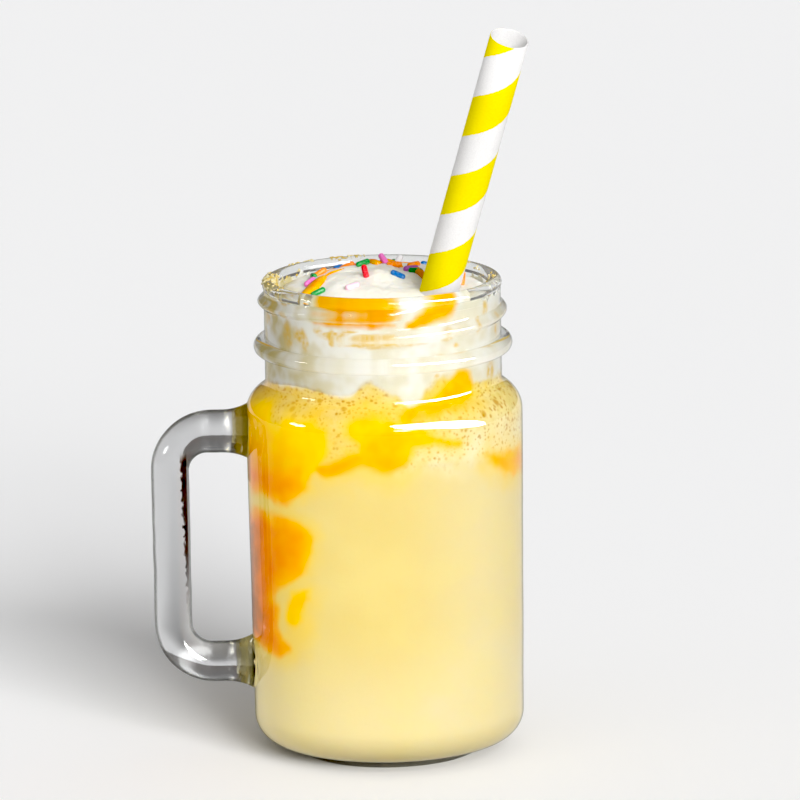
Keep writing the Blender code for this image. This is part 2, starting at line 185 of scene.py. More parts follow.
# Colours
GLASS_COLOUR = (0.86, 0.872, 0.86, 1.0)
# The handle's glass is darker grey than the body's: painted shade
HANDLE_SHADED_GLASS = (0.68, 0.685, 0.69, 1.0)
HANDLE_ROUGHNESS = 0.1
GLASS_GLOSS = (0.6, 0.6, 0.6, 1.0)
NECK_GLOSS = (0.25, 0.25, 0.25, 1.0)
# Painted refraction at the handle's joins: an olive see-through colour standing for the drink seen through
# them, paler low down
JOIN_PAINTED_REFRACTION = (0.5, 0.43, 0.2, 1.0)
JOIN_LOW_PAINTED_REFRACTION = (0.74, 0.7, 0.5, 1.0)
# Colour of the painted dark reflection along the handle's inner edge
STREAK_PAINTED_REFLECTION = (0.21, 0.11, 0.075, 1.0)
# Colour of the painted shade along the glass's edges
EDGE_PAINTED_SHADE = (0.3, 0.3, 0.27, 1.0)
# What the glass lets through to lamps, straight on and along its edges, and to scattered light
SHADOW_CLEAR = (0.95, 0.96, 0.95, 1.0)
SHADOW_EDGE = (0.4, 0.4, 0.4, 1.0)
SCATTER_PASSED = (0.7, 0.7, 0.71, 1.0)
SHAKE_COLOUR = rgb(251, 225, 142, dim=0.62)
# Paler drink low down, and painted light on its right front side
SHAKE_PALE_AND_PAINTED_LIGHT = rgb(252, 234, 180, dim=0.635)
SHAKE_CLOUD = rgb(254, 234, 154, dim=0.66)
FOAM_COLOUR = rgb(250, 224, 128, dim=0.66)
FOAM_CLOUD = rgb(252, 232, 158, dim=0.7)
FOAM_GOLD = rgb(250, 208, 66, dim=0.7)
# Paler foam low down on the right front: painted light
FOAM_PAINTED_LIGHT = rgb(252, 240, 196, dim=0.7)
# Darker amber foam at the left, and a little at the front left: painted shade
FOAM_AMBER_SHADE = rgb(222, 170, 46, dim=0.68)
BUBBLE_COLOUR = rgb(200, 136, 14, dim=0.7)
STAIN_COLOUR = rgb(255, 214, 70, dim=0.72)
DAB_COLOUR = rgb(246, 204, 96, dim=0.72)
CREAM_COLOUR = rgb(252, 249, 238, dim=0.75)
# Yellower cream along the glass: a tint in streaks, stronger on the left and high at the front left as
# painted shade
CREAM_TINT_AND_SHADE = rgb(234, 216, 150, dim=0.67)
SAUCE_THIN = rgb(255, 212, 24, dim=0.75)
SAUCE_MID = rgb(254, 174, 0, dim=0.75)
SAUCE_DEEP = rgb(244, 134, 0, dim=0.74)
# The darkest sauce, for the thickest and for the painted shade towards the left
SAUCE_THICKEST_AND_SHADED = rgb(204, 116, 0, dim=0.64)
DRIZZLE_DEEP = rgb(252, 150, 20)
DRIZZLE_THIN = rgb(253, 190, 40)
DRIED_FROTH = rgb(240, 230, 184, dim=0.8)
DRIED_FROTH_DARK = rgb(222, 190, 90, dim=0.8)
STRAW_YELLOW = rgb(255, 238, 0, dim=0.71)
STRAW_YELLOW_DARK = rgb(252, 230, 2, dim=0.71)
STRAW_WHITE = rgb(250, 249, 248, dim=0.71)
STRAW_WHITE_DARK = rgb(240, 239, 238, dim=0.71)


def smoothstep(low, high, value):
    share = np.clip((value - low) / (high - low), 0.0, 1.0)
    return share * share * (3 - 2 * share)


def round_points(radius, angle, height):
    """Points round the axis, from their radii, angles and heights."""
    return np.stack([radius * np.cos(angle), radius * np.sin(angle), height], axis=-1)


def fractal(points, size, octaves=3):
    """Smooth noise from -1 to 1 at each point, for bumps of about the given size."""
    flat = np.asarray(points, float).reshape(-1, 3) / size
    values = [noise.fractal(p, 0.9, 2.0, octaves) for p in flat.tolist()]
    return np.array(values).reshape(np.shape(points)[:-1])


def new_mesh(name, verts, faces):
    mesh = bpy.data.meshes.new(name)
    mesh.from_pydata(verts, [], faces)
    mesh.update()
    return mesh


def add_object(name, data):
    obj = bpy.data.objects.new(name, data)
    bpy.context.scene.collection.objects.link(obj)
    return obj


def ring_mesh(name, points, cap_start=True, cap_end=True, closed=False):
    """A mesh from rings of points, shaped (rings, steps, 3), joined round and one to the next.

    A closed one also joins its last ring to its first.
    """
    rings, steps = points.shape[:2]
    verts = points.reshape(-1, 3).tolist()
    faces = []
    for i in range(rings if closed else rings - 1):
        row, after = i * steps, (i + 1) % rings * steps
        for j in range(steps):
            k = (j + 1) % steps
            faces.append((row + j, row + k, after + k, after + j))
    if cap_start:
        verts.append(points[0].mean(axis=0).tolist())
        faces += [(len(verts) - 1, (j + 1) % steps, j) for j in range(steps)]
    if cap_end:
        last = (rings - 1) * steps
        verts.append(points[-1].mean(axis=0).tolist())
        faces += [(len(verts) - 1, last + j, last + (j + 1) % steps) for j in range(steps)]
    return new_mesh(name, verts, faces)


def tube_faces(base, rows, sides):
    """The faces of a closed tube, whose rows of vertices begin at number base."""
    faces = []
    for i in range(rows - 1):
        row = base + i * sides
        for j in range(sides):
            k = (j + 1) % sides
            faces.append((row + j, row + k, row + sides + k, row + sides + j))
    faces.append(tuple(base + j for j in reversed(range(sides))))
    faces.append(tuple(base + (rows - 1) * sides + j for j in range(sides)))
    return faces


def face_outwards(mesh):
    body = bmesh.new()
    body.from_mesh(mesh)
    bmesh.ops.recalc_face_normals(body, faces=body.faces)
    body.to_mesh(mesh)
    body.free()


def with_modifiers(holder):
    """The mesh that an object's modifiers make. The object itself goes."""
    bpy.context.view_layer.update()
    graph = bpy.context.evaluated_depsgraph_get()
    mesh = bpy.data.meshes.new_from_object(holder.evaluated_get(graph))
    bpy.data.objects.remove(holder, do_unlink=True)
    return mesh


def add_piece(name, mesh, look, replaces=(), sharp=40):
    """Puts a mesh in the scene as a piece of the part."""
    face_outwards(mesh)
    mesh.shade_smooth()
    if sharp:
        mesh.set_sharp_from_angle(angle=math.radians(sharp))
    mesh.materials.clear()
    mesh.materials.append(look)
    obj = add_object(name, mesh)
    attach(obj, "root")
    if replaces:
        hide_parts(*replaces)
    return obj


def set_values(mesh, name, values):
    """Stores one number for each vertex. Cap vertices, which come last, take the last number given."""
    flat = np.zeros(len(mesh.vertices), dtype=np.float32)
    given = np.asarray(values, dtype=np.float32).reshape(-1)
    flat[: len(given)] = given
    flat[len(given) :] = given[-1]
    layer = mesh.attributes.new(name, "FLOAT", "POINT")
    layer.data.foreach_set("value", flat)


class Nodes:
    """Short ways to add shader nodes to a material or to the world."""

    def __init__(self, owner):
        owner.use_nodes = True
        self.material = owner
        self.tree = owner.node_tree
        self.shader = self.tree.nodes.get("Principled BSDF")
        self.output = self.tree.nodes.get("Material Output")
        self.place = None

    def add(self, kind, **settings):
        node = self.tree.nodes.new(kind)
        for key, value in settings.items():
            setattr(node, key, value)
        return node

    def link(self, source, target):
        self.tree.links.new(source, target)

    def feed(self, node, index, value):
        """Sets an input to a number or a colour, or links it to a socket."""
        if isinstance(value, bpy.types.NodeSocket):
            self.link(value, node.inputs[index])
        else:
            node.inputs[index].default_value = value

    def set(self, **inputs):
        for key, value in inputs.items():
            self.feed(self.shader, key.replace("_", " "), value)

    def own_place(self):
        """The place on the object, in metres."""
        if self.place is None:
            self.place = self.add("ShaderNodeTexCoord").outputs["Object"]
        return self.place

    def point(self, size):
        """The place on the object, in steps of a size in millimetres."""
        node = self.add("ShaderNodeVectorMath", operation="SCALE")
        self.link(self.own_place(), node.inputs[0])
        node.inputs["Scale"].default_value = 1 / (size * MM)
        return node.outputs[0]

    def split(self, vector):
        node = self.add("ShaderNodeSeparateXYZ")
        self.link(vector, node.inputs[0])
        return node.outputs

    def dot(self, vector, fixed):
        node = self.add("ShaderNodeVectorMath", operation="DOT_PRODUCT")
        self.link(vector, node.inputs[0])
        node.inputs[1].default_value = fixed
        return node.outputs["Value"]

    def number(self, name):
        return self.add("ShaderNodeAttribute", attribute_name=name).outputs["Fac"]

    def math(self, operation, first, second=0.0, clamp=False):
        node = self.add("ShaderNodeMath", operation=operation, use_clamp=clamp)
        self.feed(node, 0, first)
        self.feed(node, 1, second)
        return node.outputs[0]

    def times(self, first, *others, clamp=False):
        for value in others:
            first = self.math("MULTIPLY", first, value, clamp=clamp)
        return first

    def plus(self, first, second):
        return self.math("ADD", first, second)

    def minus(self, first, second):
        return self.math("SUBTRACT", first, second)

    def span(self, value, low, high, to_low=0.0, to_high=1.0):
        """Maps a value smoothly from one range to another."""
        node = self.add("ShaderNodeMapRange", interpolation_type="SMOOTHSTEP")
        for index, given in enumerate((value, low, high, to_low, to_high)):
            self.feed(node, index, given)
        return node.outputs[0]

    def mix(self, share, first, second):
        node = self.add("ShaderNodeMix", data_type="RGBA")
        self.feed(node, 0, share)
        self.feed(node, 6, first)
        self.feed(node, 7, second)
        return node.outputs[2]

    def ramp(self, value, stops):
        node = self.add("ShaderNodeValToRGB")
        elements = node.color_ramp.elements
        while len(elements) < len(stops):
            elements.new(0.5)
        for element, (position, colour) in zip(elements, stops):
            element.position = position
            element.color = colour
        self.feed(node, 0, value)
        return node.outputs[0]

    def noise(self, size, detail=3.0):
        """Smooth noise from 0 to 1, with spots of about a size in millimetres."""
        node = self.add("ShaderNodeTexNoise")
        self.link(self.point(size), node.inputs["Vector"])
        for name, value in (("Scale", 1.0), ("Detail", detail), ("Roughness", 0.55)):
            node.inputs[name].default_value = value
        return node.outputs["Fac"]

    def cells(self, size):
        """Voronoi cells: the distance to the nearest centre, and a random colour for each cell."""
        node = self.add("ShaderNodeTexVoronoi")
        self.link(self.point(size), node.inputs["Vector"])
        node.inputs["Scale"].default_value = 1.0
        return node.outputs["Distance"], node.outputs["Color"]

    def bump(self, height, strength, distance):
        node = self.add("ShaderNodeBump")
        node.inputs["Strength"].default_value = strength
        node.inputs["Distance"].default_value = distance
        self.link(height, node.inputs["Height"])
        self.link(node.outputs[0], self.shader.inputs["Normal"])

    def see_through(self, colour):
        node = self.add("ShaderNodeBsdfTransparent")
        self.link(colour, node.inputs["Color"])
        return node.outputs[0]

    def light_path(self, kind):
        return self.add("ShaderNodeLightPath").outputs[kind]

    def blend(self, share, first, second):
        """Mixes two shaders."""
        node = self.add("ShaderNodeMixShader")
        for index, socket in enumerate((share, first, second)):
            self.link(socket, node.inputs[index])
        return node.outputs[0]


def new_look(name):
    return Nodes(bpy.data.materials.new(name))


def glass_material():
    """Clear glass with painted shade, darker on the handle and along its edges, with painted refraction at
    the handle's joins and a painted dark reflection along its inner edge. Rays towards the lamps pass it
    almost unhindered, so what is inside is lit.
    """
    made = new_look("clear_glass")
    x, y, z = made.split(made.own_place())
    on_handle = made.span(x, -BODY_RADIUS, -BODY_RADIUS - 4 * MM)
    on_neck = made.span(z, SHOULDER_HEIGHT + 4 * MM, SHOULDER_HEIGHT + 8 * MM)
    made.set(IOR=1.5, Transmission_Weight=1.0)
    # Painted shade: the handle's glass is darker than the body's
    made.set(Base_Color=made.mix(on_handle, GLASS_COLOUR, HANDLE_SHADED_GLASS))
    made.set(Roughness=made.times(on_handle, HANDLE_ROUGHNESS))
    made.set(Specular_Tint=made.mix(on_neck, GLASS_GLOSS, NECK_GLOSS))
    grain = made.times(made.noise(0.55), on_handle, 0.3)
    made.bump(made.plus(made.noise(9.0, detail=1.0), grain), 0.12, 0.4 * MM)

    ragged = made.span(made.noise(1.6, detail=5.0), 0.25, 0.75, -1.0, 1.0)
    depth = made.plus(x, made.times(ragged, 0.5 * MM))
    rise = made.math("ABSOLUTE", made.minus(z, (HANDLE_TOP + HANDLE_BOTTOM) / 2))
    # Painted refraction: where the handle joins the body, an olive see-through colour stands for the drink
    # seen through the join
    join = made.times(
        made.span(depth, JOIN_END - 0.7 * MM, JOIN_END),
        made.span(x, -BODY_RADIUS + 1.5 * MM, -BODY_RADIUS),
        made.math("GREATER_THAN", rise, 20 * MM),
    )
    # Painted reflection: a dark ragged streak along the handle's inner edge, on its front half
    narrowed = made.minus(depth, made.times(made.minus(STREAK_MIDDLE, z), STREAK_TAPER))
    seam_and_painted_streak = made.times(
        made.span(narrowed, STREAK_FROM - 0.4 * MM, STREAK_FROM),
        made.span(x, STREAK_TO, STREAK_TO - 0.3 * MM),
        made.span(z, *STREAK_LOW),
        made.span(z, *STREAK_HIGH),
        made.math("LESS_THAN", y, 0.0),
    )
    # Painted shade: the glass darkens where it turns edge-on
    facing = made.add("ShaderNodeLayerWeight").outputs["Facing"]
    rim_from = made.minus(OUTLINE_FROM, made.times(on_handle, OUTLINE_FROM - HANDLE_OUTLINE_FROM))
    outline = made.times(made.span(facing, rim_from, made.plus(rim_from, 0.2)), OUTLINE_SHARE)
    # Olive of the painted refraction at the joins, paler low down
    olive_shade = made.mix(made.span(z, 40 * MM, 80 * MM), JOIN_LOW_PAINTED_REFRACTION, JOIN_PAINTED_REFRACTION)
    # The painted refraction, the painted reflection and the painted edge shade, seen through as a transparent
    # colour
    stain_and_painted_shade = made.see_through(made.mix(seam_and_painted_streak, made.mix(join, EDGE_PAINTED_SHADE, olive_shade), STREAK_PAINTED_REFLECTION))
    cover = made.math("MAXIMUM", made.times(join, 0.8), made.times(seam_and_painted_streak, 0.96))
    glass_with_painted_shade = made.blend(made.math("MAXIMUM", cover, outline), made.shader.outputs[0], stain_and_painted_shade)

    to_lamp, scattered = (made.light_path(kind) for kind in ("Is Shadow Ray", "Is Diffuse Ray"))
    passed = made.mix(made.span(facing, 0.5, 0.95), SHADOW_CLEAR, SHADOW_EDGE)
    clear = made.see_through(made.mix(scattered, passed, SCATTER_PASSED))
    glass = made.blend(made.math("MAXIMUM", to_lamp, scattered), glass_with_painted_shade, clear)
    made.link(glass, made.output.inputs["Surface"])
    return made.material


# Bubbles: the size of their cells in mm, how far they reach in a cell, the share of cells without one
BUBBLES = ((1.5, 0.30, 0.42), (3.4, 0.26, 0.75), (0.9, 0.30, 0.55))


def drink_material(name, gloss=0.0):
    """The drink, its foam and the cream, told apart by numbers stored on the mesh, with sauce over them."""
    made = new_look(name)
    # Paler drink low down, and painted light towards the right front
    body = made.mix(made.number("pale"), SHAKE_COLOUR, SHAKE_PALE_AND_PAINTED_LIGHT)
    cloud = made.span(made.noise(14.0), 0.35, 0.7)
    body = made.mix(made.times(cloud, 0.35), body, SHAKE_CLOUD)
    froth = made.mix(made.span(made.noise(3.0, detail=4.0), 0.35, 0.65), FOAM_COLOUR, FOAM_CLOUD)
    froth = made.mix(made.times(made.span(made.noise(6.0), 0.5, 0.7), 0.7), froth, FOAM_GOLD)
    # Painted light: paler foam low down on the right front
    froth = made.mix(made.number("foam_painted_light"), froth, FOAM_PAINTED_LIGHT)
    # Painted shade: darker amber foam at the left
    froth = made.mix(made.number("amber_shade"), froth, FOAM_AMBER_SHADE)
    colour = made.mix(made.number("foam"), body, froth)
    for size, reach, share in BUBBLES:
        distance, cell = made.cells(size)
        chance = made.add("ShaderNodeSeparateColor")
        made.link(cell, chance.inputs[0])
        dot = made.span(distance, reach + 0.12, reach - 0.12)
        there = made.math("GREATER_THAN", chance.outputs[0], share)
        dot = made.times(dot, there, made.number("bubbles"), 0.62, clamp=True)
        colour = made.mix(dot, colour, BUBBLE_COLOUR)
    streaks = made.span(made.noise(9.0, detail=2.0), 0.38, 0.66)
    # Cream tint in streaks along the glass, stronger on the left as painted shade
    cream = made.mix(made.times(streaks, made.number("tint")), CREAM_COLOUR, CREAM_TINT_AND_SHADE)
    smear = made.times(made.number("dabs"), made.span(made.noise(2.2, detail=4.0), 0.25, 0.7))
    cream = made.mix(smear, cream, DAB_COLOUR)
    colour = made.mix(made.times(made.number("stain_and_painted_shade"), 0.8), colour, STAIN_COLOUR)
    colour = made.mix(made.number("cream"), colour, cream)
    depth = made.plus(made.number("depth"), made.span(made.noise(5.0), 0.3, 0.7, -0.08, 0.08))
    sauce = made.ramp(depth, ((0.0, SAUCE_THIN), (0.45, SAUCE_MID), (0.8, SAUCE_DEEP), (1.0, SAUCE_THICKEST_AND_SHADED)))
    colour = made.mix(made.number("sauce"), colour, sauce)
    made.set(Base_Color=colour, Roughness=0.5, Specular_IOR_Level=gloss)
    made.set(Subsurface_Weight=0.2, Subsurface_Radius=(0.005, 0.003, 0.0012), Subsurface_Scale=1.0)
    made.bump(made.noise(1.6, detail=4.0), 0.25, 0.25 * MM)
    return made.material


def sauce_material():
    made = new_look("mango_sauce")
    depth = made.span(made.noise(2.5), 0.3, 0.75)
    made.set(Base_Color=made.mix(depth, DRIZZLE_DEEP, DRIZZLE_THIN), Roughness=0.18)
    made.set(Subsurface_Weight=0.2, Subsurface_Radius=(0.003, 0.0012, 0.0003), Subsurface_Scale=1.0)
    made.bump(made.noise(1.2), 0.3, 0.2 * MM)
    return made.material


def sprinkle_material(name, colour):
    made = new_look(name)
    speckle = made.span(made.noise(0.5, detail=4.0), 0.4, 0.75)
    pale = tuple(0.75 * part + 0.25 for part in colour[:3]) + (1.0,)
    made.set(Base_Color=made.mix(made.times(speckle, 0.5), colour, pale), Roughness=0.32)
    made.bump(made.noise(0.35), 0.25, 0.05 * MM)
    return made.material


def froth_material():
    made = new_look("dried_froth")
    spots = made.span(made.noise(1.4), 0.42, 0.6)
    made.set(Base_Color=made.mix(spots, DRIED_FROTH, DRIED_FROTH_DARK), Roughness=0.5)
    made.bump(made.noise(0.6), 0.5, 0.2 * MM)
    return made.material


def straw_turn():
    """The turn that takes +Z to the straw's axis."""
    return (STRAW_AT_LIP - STRAW_FOOT).normalized().to_track_quat("Z", "Y")


def straw_material():
    """Paper wound in a helix of yellow and white stripes, with the seams of its winding."""
    made = new_look("striped_paper")
    own = made.add("ShaderNodeMapping", vector_type="TEXTURE")
    made.link(made.own_place(), own.inputs["Vector"])
    own.inputs["Location"].default_value = STRAW_FOOT
    own.inputs["Rotation"].default_value = straw_turn().to_euler("XYZ")
    made.place = own.outputs[0]
    x, y, z = made.split(made.place)
    angle = made.math("DIVIDE", made.math("ARCTAN2", y, x), TURN)
    ragged = made.span(made.noise(0.7), 0.3, 0.7, -0.004, 0.004)
    turn = made.plus(made.minus(made.math("DIVIDE", z, STRIPE_PITCH), angle), STRIPE_PHASE)
    turn = made.math("FRACT", made.plus(turn, ragged))
    stripe = made.times(made.span(turn, 0.0, 0.012), made.span(turn, 0.512, 0.5))
    paper = made.span(made.noise(0.4, detail=5.0), 0.3, 0.8)
    ink = made.span(made.noise(0.5, detail=5.0), 0.3, 0.8)
    paper = made.mix(paper, STRAW_WHITE, STRAW_WHITE_DARK)
    ink = made.mix(ink, STRAW_YELLOW, STRAW_YELLOW_DARK)
    radius = made.math("SQRT", made.plus(made.math("POWER", x, 2.0), made.math("POWER", y, 2.0)))
    outside = made.math("GREATER_THAN", radius, STRAW_RADIUS - 0.3 * STRAW_WALL)
    made.set(Base_Color=made.mix(made.times(stripe, outside), paper, ink))
    made.set(Roughness=0.55, Specular_IOR_Level=0.15)
    seam_and_painted_streak = made.math("FRACT", made.times(turn, 2.0))
    seam_and_painted_streak = made.span(made.math("MINIMUM", seam_and_painted_streak, made.minus(1.0, seam_and_painted_streak)), 0.0, 0.02)
    fibre = made.times(made.noise(0.35, detail=5.0), 0.25)
    made.bump(made.plus(seam_and_painted_streak, fibre), 0.35, 0.12 * MM)
    return made.material


def floor_material():
    made = new_look("pale_floor")
    made.set(Base_Color=(0.95, 0.95, 0.955, 1.0), Roughness=0.9, Specular_IOR_Level=0.0)
    return made.material


def arc(centre, radius, start, end, count):
    """Points of an arc in the profile plane, angles from +X towards +Z, both ends included."""
    angles = [start + (end - start) * i / count for i in range(count + 1)]
    return [(centre[0] + radius * math.cos(a), centre[1] + radius * math.sin(a)) for a in angles]


def shoulder_end():
    """Where the shoulder's arc meets the neck's fillet, outside."""
    return (
        BODY_RADIUS - SHOULDER_ARC + SHOULDER_ARC * math.cos(SHOULDER_TURN),
        SHOULDER_HEIGHT + SHOULDER_ARC * math.sin(SHOULDER_TURN),
    )


def neck_fillet():
    return (NECK_RADIUS + NECK_FILLET, shoulder_end()[1] + NECK_FILLET * math.sin(SHOULDER_TURN))


def inner_profile():
    """The jar's inside as (radius, height) points, from the floor's centre up to the lip."""
    slope = (BODY_RADIUS - HEEL_RADIUS) / (BODY_WIDEST - HEEL_HEIGHT)
    wall_foot = FLOOR_HEIGHT + FLOOR_ARC
    foot_radius = HEEL_RADIUS + slope * (wall_foot - HEEL_HEIGHT) - WALL
    shoulder = (BODY_RADIUS - SHOULDER_ARC, SHOULDER_HEIGHT)
    points = arc((foot_radius - FLOOR_ARC, wall_foot), FLOOR_ARC, -math.pi / 2, 0, 14)
    points += [(BODY_RADIUS - WALL, BODY_WIDEST)]
    points += arc(shoulder, SHOULDER_ARC - WALL, 0, SHOULDER_TURN, 10)
    points += arc(neck_fillet(), NECK_FILLET + WALL, math.pi + SHOULDER_TURN, math.pi, 10)[1:]
    return points


def outer_profile():
    """The jar's outside from under the lip down to the foot's edge."""
    bead_centre = BEAD_REACH - BEAD_ARC
    bead_turn = math.acos((NECK_RADIUS - bead_centre) / BEAD_ARC)
    shoulder = (BODY_RADIUS - SHOULDER_ARC, SHOULDER_HEIGHT)
    points = [(NECK_RADIUS, JAR_HEIGHT - 1.55 * LIP_ARC), (NECK_RADIUS, BEAD_HEIGHT + 1.3 * BEAD_ARC)]
    points += arc((bead_centre, BEAD_HEIGHT), BEAD_ARC, bead_turn, -bead_turn, 18)
    points += arc(neck_fillet(), NECK_FILLET, math.pi, math.pi + SHOULDER_TURN, 8)
    points += arc(shoulder, SHOULDER_ARC, SHOULDER_TURN, 0, 12)[1:]
    points += [(BODY_RADIUS, BODY_WIDEST)]
    points += arc((HEEL_RADIUS - HEEL_ARC, HEEL_HEIGHT), HEEL_ARC, 0, -math.pi / 2, 16)
    points += [(FOOT_RADIUS, HEEL_HEIGHT - HEEL_ARC - FOOT_BEVEL), (FOOT_RADIUS, FOOT_BEVEL)]
    points += [(FOOT_RADIUS - 0.3 * FOOT_BEVEL, 0.3 * FOOT_BEVEL), (FOOT_RADIUS - FOOT_BEVEL, 0.0)]
    return points


def fill_in(points, step):
    """Adds points along straight stretches, so that none is longer than step."""
    dense = [points[0]]
    for first, second in zip(points, points[1:]):
        count = max(1, math.ceil(math.dist(first, second) / step))
        for i in range(1, count + 1):
            dense.append(tuple(a + (b - a) * i / count for a, b in zip(first, second)))
    return dense


INNER = np.array(inner_profile())
INNER_SIDE = INNER[np.argmax(INNER[:, 1] > FLOOR_HEIGHT + 0.01 * MM) - 1 :]


def wall_radius(height):
    """The radius of the jar's inside at a height."""
    return np.interp(height, INNER_SIDE[:, 1], INNER_SIDE[:, 0])


def thread_height(angle, height):
    """How far the thread's ridge stands out of the neck."""
    raised = np.zeros_like(height)
    for turn in (-TURN, 0.0, TURN):
        along = angle + turn
        middle = THREAD_RIGHT_HEIGHT + THREAD_PITCH * along / TURN
        fade = np.minimum(along - THREAD_FROM, THREAD_TO - along) / THREAD_FADE
        across = np.clip(1 - ((height - middle) / THREAD_HALF_WIDTH) ** 2, 0, 1) ** 1.4
        raised = np.maximum(raised, across * smoothstep(0, 1, fade))
    return raised * (THREAD_REACH - NECK_RADIUS)


def jar_mesh():
    lip_centre = (LIP_RADIUS - LIP_ARC, JAR_HEIGHT - LIP_ARC)
    lip = arc(lip_centre, LIP_ARC, math.radians(205), math.radians(-35), 20)
    floor = [(0.2 * MM, FLOOR_HEIGHT), (12 * MM, FLOOR_HEIGHT)]
    inside = fill_in(floor + inner_profile(), 4 * MM)
    neck, rest = outer_profile()[:2], outer_profile()[1:]
    outside = fill_in(neck, 0.4 * MM) + fill_in(rest, 3 * MM)[1:]
    under = [(FOOT_RADIUS - 3 * MM, 0.0), (12 * MM, 0.0), (0.2 * MM, 0.0)]
    profile = np.array(inside + lip + outside + under)
    angles = np.linspace(0, TURN, JAR_STEPS, endpoint=False)
    radius = np.repeat(profile[:, :1], JAR_STEPS, axis=1)
    height = np.repeat(profile[:, 1:], JAR_STEPS, axis=1)
    angle = np.repeat(angles[None, :], len(profile), axis=0)
    outer = np.zeros(len(profile), bool)
    outer[len(inside) + len(lip) : len(inside) + len(lip) + len(outside) - 3] = True
    outer = outer[:, None] & (height > HEEL_HEIGHT)
    on_neck = outer & (height > BEAD_HEIGHT + BEAD_ARC)
    radius = radius + np.where(on_neck, thread_height(angle, height), 0.0)
    places = np.stack([np.cos(angle) * 0.03, np.sin(angle) * 0.03, height], axis=-1)
    radius = radius + np.where(outer, fractal(places, 14 * MM, 2) * JAR_RIPPLE, 0.0)
    return ring_mesh("jar_glass", round_points(radius, angle, height))


def handle_line():
    """The handle's centre line as (x, z), from its upper root to its lower one."""
    bend_x = HANDLE_BEND - HANDLE_REACH
    line = [(-HANDLE_ROOT, HANDLE_TOP)]
    line += arc((bend_x, HANDLE_TOP - HANDLE_BEND), HANDLE_BEND, math.pi / 2, math.pi, 16)
    line += arc((bend_x, HANDLE_BOTTOM + HANDLE_BEND), HANDLE_BEND, math.pi, 1.5 * math.pi, 16)
    line += [(-HANDLE_ROOT, HANDLE_BOTTOM)]
    return fill_in(line, 0.8 * MM)


def handle_mesh():
    line = np.array(handle_line())
    along = np.gradient(line, axis=0)
    along /= np.linalg.norm(along, axis=1)[:, None]
    out = np.stack([-along[:, 1], along[:, 0]], axis=1)
    middle = (HANDLE_TOP + HANDLE_BOTTOM) / 2
    upright = np.clip((HANDLE_REACH + line[:, 0]) / HANDLE_BEND, 0, 1)
    end_share = np.where(line[:, 1] > middle, HANDLE_TOP_SHARE, HANDLE_BOTTOM_SHARE)
    share = 1 + (end_share - 1) * upright
    flare = FLARE_GROWTH * np.clip(1 - (-line[:, 0] - HANDLE_ROOT) / FLARE_LENGTH, 0, 1) ** 2.2
    turn = np.linspace(0, TURN, 32, endpoint=False)
    across = (HANDLE_HALF_THICKNESS * share + flare)[:, None] * np.cos(turn)[None, :]
    sideways = (HANDLE_HALF_DEPTH * share + flare)[:, None] * np.sin(turn)[None, :]
    x = line[:, :1] + out[:, :1] * across
    z = line[:, 1:] + out[:, 1:] * across
    points = np.stack([x, sideways, z], axis=-1)
    points += (fractal(points, 12 * MM, 2) * 0.12 * MM)[..., None] * np.array([1.0, 1.0, 0.0])
    return ring_mesh("handle", points)


def fuse(mesh, other_mesh):
    """Joins another mesh to a mesh, both closed, and returns the joined mesh."""
    holders = []
    for data in (mesh, other_mesh):
        face_outwards(data)
        holders.append(add_object("fusing", data))
    modifier = holders[0].modifiers.new("Join", "BOOLEAN")
    modifier.operation = "UNION"
    modifier.solver = "MANIFOLD"
    modifier.object = holders[1]
    joined = with_modifiers(holders[0])
    bpy.data.objects.remove(holders[1], do_unlink=True)
    return joined


